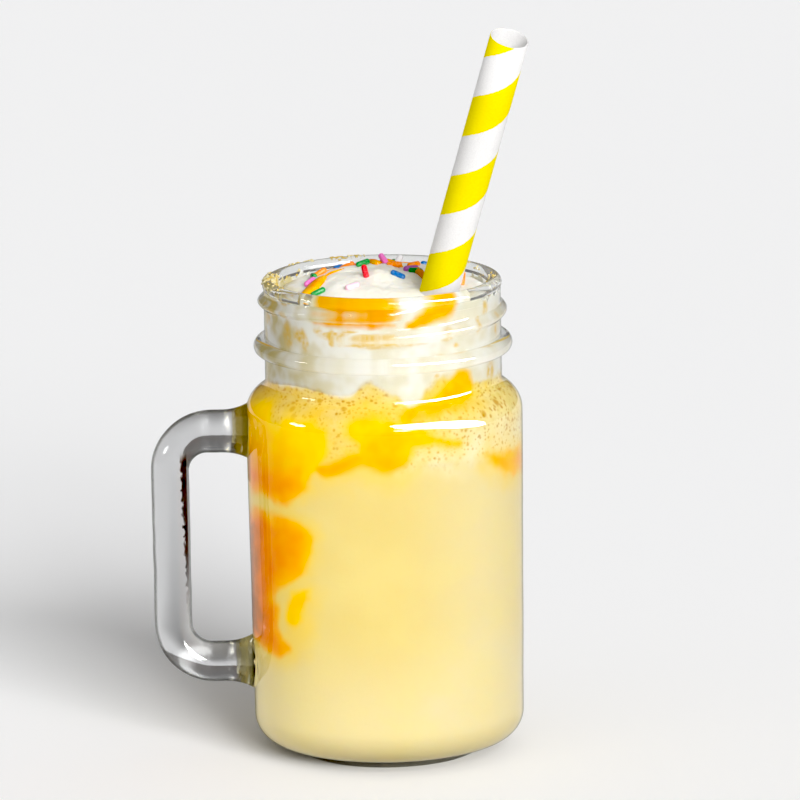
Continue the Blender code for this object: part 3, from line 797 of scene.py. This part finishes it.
# Sauce on the glass: outlines as (degrees round the axis, height in mm) and how deep its colour is.
# Depth is given at the top, at the bottom, and for each 10 degrees towards the left, where the deeper colour
# is painted shade.
SAUCE = (
    (
        ((-182, 97), (-162, 101), (-152, 101), (-146, 97), (-136, 98.5), (-116, 100), (-115, 93), (-118, 90),
         (-121, 87), (-125, 84), (-131, 79), (-137, 76), (-145, 76), (-153, 77), (-166, 75), (-184, 79)),
        (0.02, 0.92, 0.07),
    ),
    (
        ((-124, 88), (-115, 89), (-109, 91), (-101, 94), (-97, 90), (-104, 88), (-110, 86), (-118, 85)),
        (0.42, 0.58, 0.0),
    ),
    (
        ((-107, 100), (-102, 101), (-95, 101), (-84, 100.5), (-77, 99), (-71, 97.5), (-55, 94), (-56, 92.5),
         (-71, 94.5), (-76, 94.5), (-79, 92), (-79, 89.5), (-83, 87), (-87, 86.5), (-91, 86), (-95, 87),
         (-98, 89), (-103, 90), (-102, 95), (-107, 98)),
        (0.14, 0.55, 0.0),
    ),
    (
        ((-86, 100), (-80, 103.5), (-71, 105), (-62, 106.5), (-54, 111), (-47, 113.5),
         (-41, 112.5), (-38, 108.5), (-40, 104), (-47, 102), (-60, 101.5), (-71, 101.5), (-80, 99.5)),
        (0.24, 0.36, 0.0),
    ),
    (
        ((-43, 89), (-35, 90), (-31, 88), (-14, 88), (2, 88), (13, 91), (24, 93), (34, 92), (30, 88),
         (20, 86), (14, 80), (4, 77), (-6, 79.5), (-14, 80.5), (-26, 81), (-34, 84)),
        (0.36, 0.60, 0.0),
    ),
    (
        ((-172, 70), (-158, 73), (-150, 71.5), (-138, 72), (-131, 72), (-126, 70), (-124, 67), (-125, 62),
         (-128, 58), (-137, 54), (-146, 51), (-149, 47), (-144, 46), (-146, 42), (-147, 39), (-143, 37),
         (-136, 35), (-138, 33), (-151, 31), (-162, 32), (-178, 33), (-190, 38), (-201, 42), (-211, 48),
         (-204, 55), (-196, 62), (-184, 67)),
        (0.78, 0.84, 0.12),
    ),
    (
        ((-142, 43.5), (-138, 49.5), (-132, 53), (-125, 53), (-127, 50), (-130, 46), (-131, 42),
         (-137, 40.5)),
        (0.10, 0.20, 0.0),
    ),
    (
        ((-127, 134.8), (-126, 131.5), (-118, 129.4), (-108, 128.8), (-98, 128.8), (-84, 129.0), (-80, 131.5),
         (-82, 134.8)),
        (0.50, 0.80, 0.0),
    ),
    (
        ((-127, 128.4), (-112, 128.8), (-98, 128.2), (-84, 127.8), (-84, 126.8), (-100, 126.7),
         (-126, 127.0)),
        (0.75, 0.85, 0.0),
    ),
    (
        ((-79, 125.5), (-65, 126.2), (-52, 128), (-48, 131), (-49, 134.8), (-61, 134.8), (-68, 131),
         (-76, 128)),
        (0.42, 0.60, 0.0),
    ),
    (
        ((57, 71), (66, 75), (74, 80), (84, 82), (94, 85), (102, 86), (112, 83), (122, 82), (135, 78),
         (128, 73), (120, 69), (117, 61), (112, 56), (107, 60), (103, 54), (99, 47), (94, 51), (91, 58),
         (85, 62), (80, 58), (76, 63), (72, 68), (64, 68)),
        (0.12, 0.65, 0.0),
    ),
)


def rounded(outline, times=2):
    """An outline with its corners cut off, and the new ones cut again."""
    for _ in range(times):
        cut = []
        for (x0, y0), (x1, y1) in zip(outline, outline[1:] + outline[:1]):
            for far in (0.25, 0.75):
                cut.append(((1 - far) * x0 + far * x1, (1 - far) * y0 + far * y1))
        outline = cut
    return outline


# Drink that sauce has coloured, away from the sauce itself: bearing, height, half width and half height
HALOS = ((-133, 43, 8, 10), (-141, 35, 7, 6), (118, 56, 8, 9), (66, 62, 7, 8))
# Dabs of thin sauce on the neck: bearing, height, half width and half height
DABS = (
    (-146, 122.0, 2.4, 3.4), (-137, 123.2, 3.0, 2.2), (-133, 121.0, 1.5, 2.6), (-125, 125.2, 1.6, 1.2),
    (-117, 123.5, 0.9, 2.4), (-108, 125.0, 2.5, 0.9), (-100, 122.6, 3.5, 0.7), (-88, 121.9, 4.0, 0.6),
    (-74, 121.7, 4.0, 0.6), (-56, 123.0, 2.0, 1.3), (-60, 117.4, 1.3, 0.6), (-62, 112.0, 0.9, 0.7),
    (-94, 122.2, 9.0, 1.4), (-116, 123.8, 5.0, 0.9),
    (-50, 120.0, 1.2, 0.8), (-22, 110.0, 2.2, 2.6), (-34, 124.5, 1.0, 2.6), (-27, 128.0, 1.5, 2.8),
    (-160, 129.0, 2.6, 2.6), (-150, 130.0, 2.2, 1.8), (-168, 125.0, 2.5, 1.8), (-14, 121.0, 1.4, 2.6),
    (150, 126.0, 3.0, 2.4), (128, 122.0, 2.2, 2.8), (100, 124.5, 3.2, 1.6), (72, 121.0, 2.4, 2.2),
    (45, 126.0, 2.0, 2.8), (22, 122.0, 1.8, 2.0), (0, 125.0, 1.6, 2.0), (84, 114.0, 2.0, 1.2),
)


def outline_distance(u, v, outline):
    """The distance from points to an outline's edge, positive inside it."""
    inside = np.zeros(u.shape, bool)
    nearest = np.full(u.shape, 1e9)
    for (x0, y0), (x1, y1) in zip(outline, outline[1:] + outline[:1]):
        run_x, run_y = x1 - x0, y1 - y0
        share = np.clip(((u - x0) * run_x + (v - y0) * run_y) / (run_x**2 + run_y**2), 0, 1)
        nearest = np.minimum(nearest, np.hypot(u - x0 - share * run_x, v - y0 - share * run_y))
        if y0 != y1:
            crosses = ((y0 > v) != (y1 > v)) & (u < run_x * (v - y0) / run_y + x0)
            inside ^= crosses
    return np.where(inside, nearest, -nearest)


def away_from(angle, bearing):
    """How far an angle lies past a bearing, from -180 to 180 degrees."""
    return (angle - bearing + 180) % 360 - 180


def soft_spots(places, angle, height, radius, rough, full):
    """1 in the middle of each place on a wall of a radius, falling to 0 outside it."""
    shade = np.zeros(height.shape)
    for bearing, middle, half_width, half_height in places:
        here = away_from(angle, bearing) * ARC_PER_DEGREE * radius / MM
        far = np.hypot(here / half_width, (height - middle) / half_height) + rough
        shade = np.maximum(shade, smoothstep(1.3, full, far))
    return shade


def paint_sauce(angle, z, rough, at_wall):
    """Where sauce covers the wall, how deep its colour is, with painted shade deepening it towards the left,
    and where it colours the drink round it.
    """
    sauce, depth, stain_and_painted_shade = np.zeros(z.shape), np.zeros(z.shape), np.zeros(z.shape)
    width = ARC_PER_DEGREE * BODY_RADIUS / MM
    for outline, (at_top, at_bottom, shade_leftward) in SAUCE:
        heights = [height for _, height in outline]
        low, high = min(heights), max(heights)
        middle = sum(degrees for degrees, _ in outline) / len(outline)
        here = away_from(angle, middle)
        flat = rounded([((degrees - middle) * width, height) for degrees, height in outline])
        inside = outline_distance(here * width, z, flat) + 0.8 * rough
        stain_and_painted_shade = np.maximum(stain_and_painted_shade, 0.6 * smoothstep(-7.0, 0.5, inside + 0.6 * rough))
        cover = smoothstep(-1.5, 1.3, inside) * at_wall
        fall = np.clip((high - z) / (high - low), 0, 1)
        # Deeper towards the left: painted shade
        tone = at_top + (at_bottom - at_top) * fall**1.7 - shade_leftward * here / 10
        tone = np.clip(tone * (0.55 + 0.45 * smoothstep(0, 5, inside)), 0, 1)
        depth = np.where(cover > sauce, tone, depth)
        sauce = np.maximum(sauce, cover)
    return sauce, depth, stain_and_painted_shade


def paint_wall(mesh, points):
    """Stores on a mesh along the wall where foam, cream, bubbles and sauce are, and where light and shade are
    painted.
    """
    x, y, z = points[..., 0], points[..., 1], points[..., 2] / MM
    heading = np.arctan2(y, x)
    angle = np.degrees(heading)
    rough = fractal(points, 7 * MM) * 1.4 + fractal(points, 2.5 * MM) * 0.5
    at_wall = smoothstep(0.9, 0.97, np.hypot(x, y) / wall_radius(points[..., 2]))
    sauce, depth, stain_and_painted_shade = paint_sauce(angle, z, rough, at_wall)
    halo = soft_spots(HALOS, angle, z, BODY_RADIUS, 0.12 * rough, 0.4)
    foam_low = shake_line(heading) / MM + rough * 1.5
    foam_high = foam_line(heading) / MM + rough
    wall = smoothstep(0.75, 0.97, np.hypot(x, y) / wall_radius(CREAM_EDGE))
    # Painted shade on the cream high in the neck at the front left
    olive_shade = 0.5 * smoothstep(123, 128, z) * near(heading, -148, 45)
    numbers = {
        "sauce": sauce,
        "depth": depth,
        "stain_and_painted_shade": np.maximum(stain_and_painted_shade, 0.7 * halo),
        # Painted shade: darker amber foam at the left, a little at the front left
        "amber_shade": 0.75 * near(heading, 180, 75) + 0.25 * near(heading, -110, 40),
        # pale: paler low down, and painted light towards the right front
        "pale": np.clip(0.8 * smoothstep(45, 12, z) + 0.8 * near(heading, -38, 54), 0, 1),
        "foam_painted_light": smoothstep(104, 90, z + rough) * near(heading, -48, 85),
        "foam": smoothstep(foam_low - 6, foam_low + 3, z),
        "cream": smoothstep(foam_high - 1.4, foam_high + 1.1, z),
        "bubbles": smoothstep(foam_low - 4, foam_low + 4, z) * (1 - 0.85 * sauce),
        "dabs": soft_spots(DABS, angle, z, NECK_RADIUS, 0.25 * rough, 0.5),
        # tint: yellow streaks along the glass, stronger on the left and at the front left as painted shade
        "tint": wall * (0.32 + 0.75 * near(heading, 180, 80) + olive_shade) + 0.08,
    }
    for name, values in numbers.items():
        set_values(mesh, name, values)


def near(angle, degrees, spread):
    """1 where an angle lies at a bearing, falling smoothly to 0 at the spread on both sides."""
    return smoothstep(spread, 0, np.abs(away_from(np.degrees(angle), degrees)))


def shake_line(angle):
    """The height of the drink's top round the wall."""
    waves = 1.0 * -np.cos(2 * angle) + 0.8 * np.sin(3 * angle + 0.6) + 0.6 * np.sin(5 * angle)
    return SHAKE_TOP + MM * waves


# Peaks and dips of the foam's top: height in mm, bearing and spread
FOAM_PEAKS = ((3.4, -97, 12), (4.6, -58, 16), (-3.4, -77, 9), (2.6, 60, 20), (2.2, 140, 18), (-2.0, 100, 16))


def foam_line(angle):
    """The height of the foam's top round the wall."""
    waves = 0.6 * np.sin(3 * angle + 2.1) + 0.5 * np.sin(7 * angle)
    for height, bearing, spread in FOAM_PEAKS:
        waves = waves + height * near(angle, bearing, spread)
    return FOAM_TOP + MM * waves


def cream_rim_line(angle):
    """The height where the cream meets the glass."""
    return CREAM_EDGE + MM * (0.5 * np.sin(2 * angle + 1.0) + 0.35 * np.sin(5 * angle))


def cream_height(x, y):
    """The top of the cream over a point, before its fine relief."""
    edge = wall_radius(CREAM_EDGE)
    radius = np.minimum(np.hypot(x, y), edge)
    angle = np.arctan2(y, x)
    dome = (1.0 - (radius / edge) ** 2) ** CREAM_POWER
    rim = cream_rim_line(angle)
    height = rim + (CREAM_PEAK - rim) * dome
    inside = smoothstep(0, 8 * MM, edge - radius)
    swirl = np.sin(2 * angle - TURN * radius / (15 * MM) + 0.9)
    height = height + 0.55 * MM * swirl * inside * smoothstep(0, 7 * MM, radius)
    crest = np.exp(-(((x + 3 * MM) / (10 * MM)) ** 2) - ((y + 8 * MM) / (5 * MM)) ** 2)
    valley = np.exp(-(((x - 7 * MM) / (5 * MM)) ** 2) - ((y + 9 * MM) / (4 * MM)) ** 2)
    return height + MM * (0.9 * crest - 1.1 * valley) * inside


def side_rings(low_line, high_line, angles, count, outset):
    """Rings up the wall between two wavy lines."""
    shares = np.linspace(0, 1, count)[:, None]
    low, high = low_line(angles)[None, :], high_line(angles)[None, :]
    height = low + (high - low) * shares
    radius = wall_radius(height) + outset
    angle = np.repeat(angles[None, :], count, axis=0)
    return round_points(radius, angle, height)


def inward_rings(ring, shares, height_at=None):
    """Rings that shrink a ring towards the axis, level or over a given surface."""
    rings = []
    for share in shares:
        shrunk = ring.copy()
        shrunk[:, :2] *= share
        if height_at is None:
            shrunk[:, 2] = ring[:, 2].mean() + (ring[:, 2] - ring[:, 2].mean()) * share
        else:
            shrunk[:, 2] = height_at(shrunk[:, 0], shrunk[:, 1])
        rings.append(shrunk)
    return np.array(rings)


def layer_points(low_line, high_line, count, outset, top=None):
    angles = np.linspace(-math.pi, math.pi, FILL_STEPS, endpoint=False)
    side = side_rings(low_line, high_line, angles, count, outset)
    bottom = inward_rings(side[0], (0.02, 0.5, 0.97))
    above = inward_rings(side[-1], (0.97, 0.5, 0.02)) if top is None else top(side[-1])
    return np.concatenate([bottom, side, above])


def shake_piece(look):
    def floor_line(angle):
        return np.full(np.shape(angle), FLOOR_HEIGHT + 0.02 * MM)

    points = layer_points(floor_line, shake_line, 150, INTO_WALL)
    points[:3, :, 2] -= INTO_WALL
    mesh = ring_mesh("shake", points)
    paint_wall(mesh, points)
    nodes = ("milkshake", "sauce_left", "sauce_front", "sauce_right", "sauce_low", "sauce_back")
    return add_piece("shake_fill", mesh, look, nodes)


def foam_piece(look):
    def low_line(angle):
        return shake_line(angle) - 0.6 * MM

    points = layer_points(low_line, foam_line, 50, INTO_WALL + 0.02 * MM)
    mesh = ring_mesh("foam", points)
    paint_wall(mesh, points)
    return add_piece("foam_fill", mesh, look, ("foam",))


def cream_relief(x, y):
    """The cream's top with its soft lumps."""
    places = np.stack([x, y, np.zeros_like(x)], axis=-1)
    inside = smoothstep(0, 3 * MM, wall_radius(CREAM_EDGE) - np.hypot(x, y))
    lumps = 0.35 * fractal(places, 6 * MM) + 0.08 * fractal(places, 1.5 * MM)
    return cream_height(x, y) + inside * MM * lumps


def cream_piece(look):
    def low_line(angle):
        return foam_line(angle) - 0.6 * MM

    def top(ring):
        return inward_rings(ring, np.cos(np.linspace(0.12, math.pi / 2 - 0.02, 80)), cream_relief)

    points = layer_points(low_line, cream_rim_line, 60, INTO_WALL + 0.04 * MM, top)
    mesh = ring_mesh("cream", points)
    paint_wall(mesh, points)
    return add_piece("cream_fill", mesh, look, ("whipped_cream",))


# Runs of drizzle on the cream: points as (x, y), half width and height, all in mm
DRIZZLE = (
    (((-21.5, -14), (-20, -10.5), (-18, -7), (-16.2, -4)), 2.6, 1.5),
    (((-16.8, -4.5), (-14, -1.5), (-10.5, 2)), 0.6, 0.45),
    (((-5.0, 12.5), (-3.0, 9), (-0.8, 5)), 1.6, 1.5),
    (((-0.8, 8.5), (2.5, 6.8), (5.8, 5.6)), 1.7, 1.5),
    (((8.6, 0.5), (10.5, -4), (12.2, -8)), 1.3, 1.1),
    (((-16, 14), (-8, 19.5), (2, 21), (10, 18)), 1.2, 0.7),
    (((10, 18), (15, 12), (17, 5)), 1.1, 0.7),
)
DRIZZLE_SIDES = 14
DRIZZLE_STEPS = 8


def height_on_cream(x, y):
    return float(cream_height(np.array(x), np.array(y)))


def drizzle_piece(look):
    """Thick sauce that lies on the cream in short runs, round on top and sunk at its edges."""
    verts, faces = [], []
    for line, half_width, height in DRIZZLE:
        knots = np.array(line, float) * MM
        steps = DRIZZLE_STEPS * (len(knots) - 1)
        base = len(verts)
        for i in range(steps + 1):
            share = i / steps
            place = share * (len(knots) - 1)
            k = min(int(place), len(knots) - 2)
            run = knots[k + 1] - knots[k]
            centre = knots[k] + run * (place - k)
            ahead = run / np.linalg.norm(run)
            side = np.array([-ahead[1], ahead[0]])
            swell = max(0.05, math.sin(math.pi * (0.04 + 0.92 * share))) ** 0.45
            swell *= 1 + 0.3 * noise.noise(Vector((centre[0] * 300, centre[1] * 300, 2.0)))
            for j in range(DRIZZLE_SIDES):
                turn = TURN * j / DRIZZLE_SIDES
                spot = centre + side * half_width * MM * swell * math.cos(turn)
                lift = math.sin(turn) * (1.0 if math.sin(turn) > 0 else 0.5)
                rise = height * MM * swell * lift
                verts.append((spot[0], spot[1], height_on_cream(spot[0], spot[1]) + rise))
        faces += tube_faces(base, steps + 1, DRIZZLE_SIDES)
    return add_piece("sauce_drizzle", new_mesh("drizzle", verts, faces), look, sharp=0)


# Sprinkles as (x, y, heading in degrees, tilt in degrees) in mm on the cream
SPRINKLES = {
    "red": ((-4.6, -8.6, 105, 38), (-6, 16, 20, 0), (18, 8, 130, 0)),
    "green": ((-5.2, 5.4, 30, 8), (-17.7, -14.6, 15, 0), (9.5, -3.6, -25, 0), (3, 17, 70, 0),
              (-19, 4, 100, 0)),
    "blue": ((4.5, -8.6, -20, 0), (-12, 18, 60, 0), (13, 14, 15, 0)),
    "pink": ((0.6, 7.0, 120, 35), (-20, -3, 50, 0), (5, 22, 10, 0)),
    "white": ((4.6, 7.5, 60, 40), (-3, 22, 150, 0)),
    "purple": ((8.2, 0.6, 10, 0), (-9, 22, 100, 0)),
    "pale_pink": ((-8.2, -16.6, 25, 0), (17, 16, 80, 0)),
    "orange": ((22.4, -4.2, 80, 55), (-17.3, 3.6, 15, 10), (9, 9, 40, 0), (-9.6, 13.2, -5, 16),
               (3.6, 3.4, -10, 10)),
}
SPRINKLE_COLOURS = {
    "red": rgb(226, 26, 44),
    "green": rgb(18, 146, 62),
    "blue": rgb(28, 112, 186),
    "pink": rgb(240, 120, 200),
    "white": rgb(250, 248, 250),
    "purple": rgb(176, 96, 176),
    "pale_pink": rgb(250, 206, 224),
    "orange": rgb(248, 140, 26),
}
SPRINKLE_LENGTH = 4.4 * MM
SPRINKLE_RADIUS = 0.86 * MM


SPRINKLE_SIDES = 12
# A sprinkle's outline, as shares of its radius and of its length
SPRINKLE_PROFILE = (
    (0.15, -0.5), (0.6, -0.47), (0.9, -0.41), (1.0, -0.33), (1.0, 0.0),
    (1.0, 0.33), (0.9, 0.41), (0.6, 0.47), (0.15, 0.5),
)


def sprinkle_verts(x, y, heading, tilt):
    """A short rod with rounded ends, half sunk in the cream."""
    ahead = Vector((math.cos(heading), math.sin(heading), 0.0)) * SPRINKLE_LENGTH / 2
    ends = [height_on_cream(x + s * ahead.x, y + s * ahead.y) for s in (-1, 1)]
    along = Vector((2 * ahead.x, 2 * ahead.y, ends[1] - ends[0])).normalized()
    along = (along * math.cos(tilt) + Vector((0, 0, 1)) * math.sin(tilt)).normalized()
    lift = 0.45 * SPRINKLE_RADIUS + 0.35 * SPRINKLE_LENGTH * math.sin(tilt)
    middle = Vector((x, y, sum(ends) / 2 + lift))
    facing = along.to_track_quat("Z", "Y").to_matrix()
    verts = []
    for share, place in SPRINKLE_PROFILE:
        for j in range(SPRINKLE_SIDES):
            spin = TURN * j / SPRINKLE_SIDES
            local = Vector((math.cos(spin), math.sin(spin), 0)) * share * SPRINKLE_RADIUS
            local.z = place * SPRINKLE_LENGTH
            verts.append(tuple(middle + facing @ local))
    return verts


def sprinkle_pieces():
    """One mesh for each colour of sprinkles."""
    for name, places in SPRINKLES.items():
        verts, faces = [], []
        for x, y, heading, tilt in places:
            faces += tube_faces(len(verts), len(SPRINKLE_PROFILE), SPRINKLE_SIDES)
            verts += sprinkle_verts(x * MM, y * MM, math.radians(heading), math.radians(tilt))
        look = sprinkle_material("sprinkle_" + name, SPRINKLE_COLOURS[name])
        add_piece("sprinkles_" + name, new_mesh(name, verts, faces), look, sharp=60)


def film_height(angle):
    """How high a film of cream clings to the glass above the cream's edge: up to the lip in front."""
    spots = [Vector((math.cos(a) * 9, math.sin(a) * 9, 1.0)) for a in angle]
    ragged = np.array([noise.fractal(spot, 0.8, 2.0, 4) for spot in spots])
    left = near(angle, 165, 70)
    right = near(angle, 20, 60)
    front = smoothstep(0.0, 0.35, near(angle, -84, 62))
    height = 0.5 + 3.0 * left + 1.6 * right + 5.5 * front + (2.2 - 1.6 * front) * ragged
    return MM * np.clip(height, 0.1, 4.9)


def lip_inside(height):
    """The radius of the inside of the neck and the lip at a height."""
    rise = np.minimum(np.abs(height - JAR_HEIGHT + LIP_ARC), LIP_ARC)
    swell = LIP_RADIUS - LIP_ARC - np.sqrt(LIP_ARC**2 - rise**2)
    return np.minimum(swell, wall_radius(CREAM_EDGE))


def film_piece(look):
    """A thin skin of cream left on the inside of the neck."""
    angles = np.linspace(-math.pi, math.pi, 540, endpoint=False)
    low = CREAM_EDGE - 0.8 * MM
    high = CREAM_EDGE + film_height(angles)
    rings = []
    section = [(share, 0.5 - 0.3 * share) for share in np.linspace(0, 0.97, 9)]
    section += [(1.0, 0.05)] + [(share, -0.06) for share in np.linspace(0.98, 0, 9)]
    for share, depth in section:
        height = low + (high - low) * share
        radius = lip_inside(height) - depth * MM
        rings.append(round_points(radius, angles, height))
    points = np.array(rings)
    mesh = ring_mesh("film", points, cap_start=False, cap_end=False)
    paint_wall(mesh, points)
    return add_piece("cream_film", mesh, look, sharp=0)


def rim_froth_piece(look):
    """Crumbs of dried froth in clumps on the lip and inside it, most at the left."""
    chance = random.Random(11)
    body = bmesh.new()
    clumps = [(chance.gauss(176, 17), chance.uniform(30, 225), chance.randint(6, 18)) for _ in range(26)]
    clumps += [(chance.uniform(100, 150), chance.uniform(60, 120), chance.randint(3, 8)) for _ in range(13)]
    clumps += [(chance.uniform(-25, 80), chance.uniform(80, 190), chance.randint(2, 5)) for _ in range(10)]
    for bearing, turn, count in clumps:
        for _ in range(count):
            around = math.radians(chance.gauss(bearing, 2.2))
            over = math.radians(chance.gauss(turn, 18))
            radius = LIP_RADIUS - LIP_ARC + LIP_ARC * math.cos(over)
            height = JAR_HEIGHT - LIP_ARC + LIP_ARC * math.sin(over)
            spot = Vector((radius * math.cos(around), radius * math.sin(around), height))
            size = chance.uniform(0.18, 0.5) * MM
            stretch = Matrix.Diagonal([chance.uniform(0.6, 1.5) for _ in range(3)] + [1.0])
            place = Matrix.Translation(spot) @ Matrix.Rotation(around, 4, "Z") @ stretch
            bmesh.ops.create_icosphere(body, subdivisions=1, radius=size, matrix=place)
    mesh = bpy.data.meshes.new("rim_froth")
    body.to_mesh(mesh)
    body.free()
    holder = add_object("crumbs", mesh)
    melt = holder.modifiers.new("Melt", "REMESH")
    melt.mode = "VOXEL"
    melt.voxel_size = 0.2 * MM
    return add_piece("rim_froth", with_modifiers(holder), look, sharp=0)


def straw_piece(look):
    """A paper tube with slightly rounded, uneven cut ends."""
    inner = STRAW_RADIUS - STRAW_WALL
    turn = np.linspace(0, TURN, 64, endpoint=False)
    spots = [Vector((math.cos(a) * 4, math.sin(a) * 4, 0.0)) for a in turn]
    rough = np.array([noise.noise(spot) for spot in spots]) * 0.12 * MM
    rows = [(inner, 0.1 * MM), (inner, STRAW_LENGTH * 0.5), (inner, STRAW_LENGTH - 0.15 * MM)]
    rows += [(inner + 0.12 * MM, STRAW_LENGTH), (STRAW_RADIUS - 0.12 * MM, STRAW_LENGTH)]
    rows += [(STRAW_RADIUS, STRAW_LENGTH - 0.15 * MM)]
    rows += [(STRAW_RADIUS, STRAW_LENGTH * share) for share in (0.9, 0.75, 0.6, 0.45, 0.3, 0.15)]
    rows += [(STRAW_RADIUS, 0.1 * MM), (STRAW_RADIUS - 0.1 * MM, 0.0)]
    rings = []
    for radius, height in rows:
        lift = rough if height > STRAW_LENGTH * 0.95 else 0 * rough
        rings.append(round_points(radius, turn, height + lift))
    mesh = ring_mesh("straw", np.array(rings), cap_start=False, cap_end=False, closed=True)
    mesh.transform(Matrix.Translation(STRAW_FOOT) @ straw_turn().to_matrix().to_4x4())
    return add_piece("paper_straw", mesh, look, ("straw",), sharp=50)


def heading(bearing, elevation):
    """The direction at a bearing round the axis and an elevation, in degrees."""
    turn, rise = math.radians(bearing), math.radians(elevation)
    return Vector((math.cos(turn) * math.cos(rise), math.sin(turn) * math.cos(rise), math.sin(rise)))


def soft_box(made, direction, bearing, elevation, half_width, half_height, softness):
    """How far a direction of the sky lies in a soft box, from 0 to 1. Sizes are in degrees."""
    middle = heading(bearing, elevation)
    side = Vector((0, 0, 1)).cross(middle).normalized()
    ahead = made.dot(direction, middle)
    across = made.math("DIVIDE", made.dot(direction, side), made.math("MAXIMUM", ahead, 0.01))
    along = made.math("DIVIDE", made.dot(direction, middle.cross(side)), made.math("MAXIMUM", ahead, 0.01))
    shares = [made.math("GREATER_THAN", ahead, 0.01)]
    for value, half in ((across, half_width), (along, half_height)):
        outer = math.tan(math.radians(half))
        shares.append(made.span(made.math("ABSOLUTE", value), outer, outer * (1 - softness)))
    return made.times(*shares)


def add_card(lit, bearing, elevation, half_width, half_height, tilt, power):
    """A lamp that lights only the pieces of one collection."""
    middle = heading(bearing, elevation)
    level = Vector((0, 0, 1)).cross(middle).normalized()
    turn = math.radians(tilt)
    side = level * math.cos(turn) + middle.cross(level) * math.sin(turn)
    lamp = bpy.data.lights.new("card", "AREA")
    lamp.shape = "ELLIPSE"
    lamp.size = 2 * CARD_DISTANCE * math.tan(math.radians(half_width))
    lamp.size_y = 2 * CARD_DISTANCE * math.tan(math.radians(half_height))
    lamp.energy = power
    card = add_object("card", lamp)
    facing = Matrix((side, middle.cross(side), middle)).transposed().to_4x4()
    card.matrix_world = Matrix.Translation(middle * CARD_DISTANCE + Vector((0, 0, 0.1))) @ facing
    card.light_linking.receiver_collection = lit


def add_stage():
    """A wide pale floor under a studio's sky, dim at its horizon, with soft boxes and dark flags."""
    bpy.ops.mesh.primitive_plane_add(size=14.0, location=(0, 3.0, 0))
    floor = bpy.context.active_object
    floor.name = "floor"
    floor.data.materials.append(floor_material())

    world = bpy.data.worlds.new("soft_studio")
    bpy.context.scene.world = world
    made = Nodes(world)
    direction = made.add("ShaderNodeTexCoord").outputs["Generated"]
    up = made.split(direction)[2]
    light = made.span(up, 0.25, 0.95, SKY_HORIZON, SKY_TOP)
    for shape in DARK_FLAGS:
        share = made.times(soft_box(made, direction, *shape), FLAG_SHARE)
        light = made.times(light, made.minus(1.0, share))
    for strength, *shape in SOFT_BOXES:
        light = made.plus(light, made.times(soft_box(made, direction, *shape), strength))
    made.link(light, made.tree.nodes["Background"].inputs["Strength"])
    tint = made.mix(made.span(up, 0.0, 0.35), SKY_LOW_TINT, WHITE)
    made.link(tint, made.tree.nodes["Background"].inputs["Color"])


def add_camera():
    """A camera whose view of the target falls on the same pixel as in the photograph."""
    forward = Vector((0, math.cos(VIEW_ELEVATION), -math.sin(VIEW_ELEVATION)))
    upward = Vector((0, math.sin(VIEW_ELEVATION), math.cos(VIEW_ELEVATION)))
    right = Vector((1, 0, 0))
    place = VIEW_TARGET - forward * VIEW_DISTANCE
    half = FRAME_PIXELS / 2
    dx, dy = half - TARGET_PIXEL[0], half - TARGET_PIXEL[1]
    cos, sin = math.cos(VIEW_ROLL), math.sin(VIEW_ROLL)
    across, down = cos * dx + sin * dy, -sin * dx + cos * dy
    axis = (forward + right * (across / FOCAL_PIXELS) - upward * (down / FOCAL_PIXELS)).normalized()
    side = right * cos + upward * sin
    side = (side - axis * side.dot(axis)).normalized()
    top = side.cross(axis)
    camera = add_object("camera", bpy.data.cameras.new("camera"))
    camera.data.sensor_width = SENSOR_WIDTH
    camera.data.lens = FOCAL_PIXELS * SENSOR_WIDTH / FRAME_PIXELS
    camera.data.clip_end = 50
    facing = Matrix((side, top, -axis)).transposed().to_4x4()
    camera.matrix_world = Matrix.Translation(place) @ facing
    bpy.context.scene.camera = camera


def main():
    view = bpy.context.scene.view_settings
    view.view_transform = "Standard"
    view.use_curve_mapping = True
    view.curve_mapping.black_level = (BLACK_LEVEL,) * 3
    view.curve_mapping.update()
    add_camera()
    add_stage()
    jar = add_piece("jar_glass", fuse(jar_mesh(), handle_mesh()), glass_material(), ("jar",))
    cream_look = drink_material("whipped_cream", 0.2)
    drink = [shake_piece(drink_material("mango_shake")), foam_piece(drink_material("mango_foam"))]
    cream = [cream_piece(cream_look), film_piece(cream_look), straw_piece(straw_material())]
    drizzle_piece(sauce_material())
    groups = ((GLINT_CARDS, [jar]), (DRINK_FILLS, drink), (CREAM_FILLS, cream))
    for cards, pieces in groups:
        lit = bpy.data.collections.new("lit_by_cards")
        for piece in pieces:
            lit.objects.link(piece)
        for card in cards:
            add_card(lit, *card)
    sprinkle_pieces()
    rim_froth_piece(froth_material())


main()
bpy.context.view_layer.update()
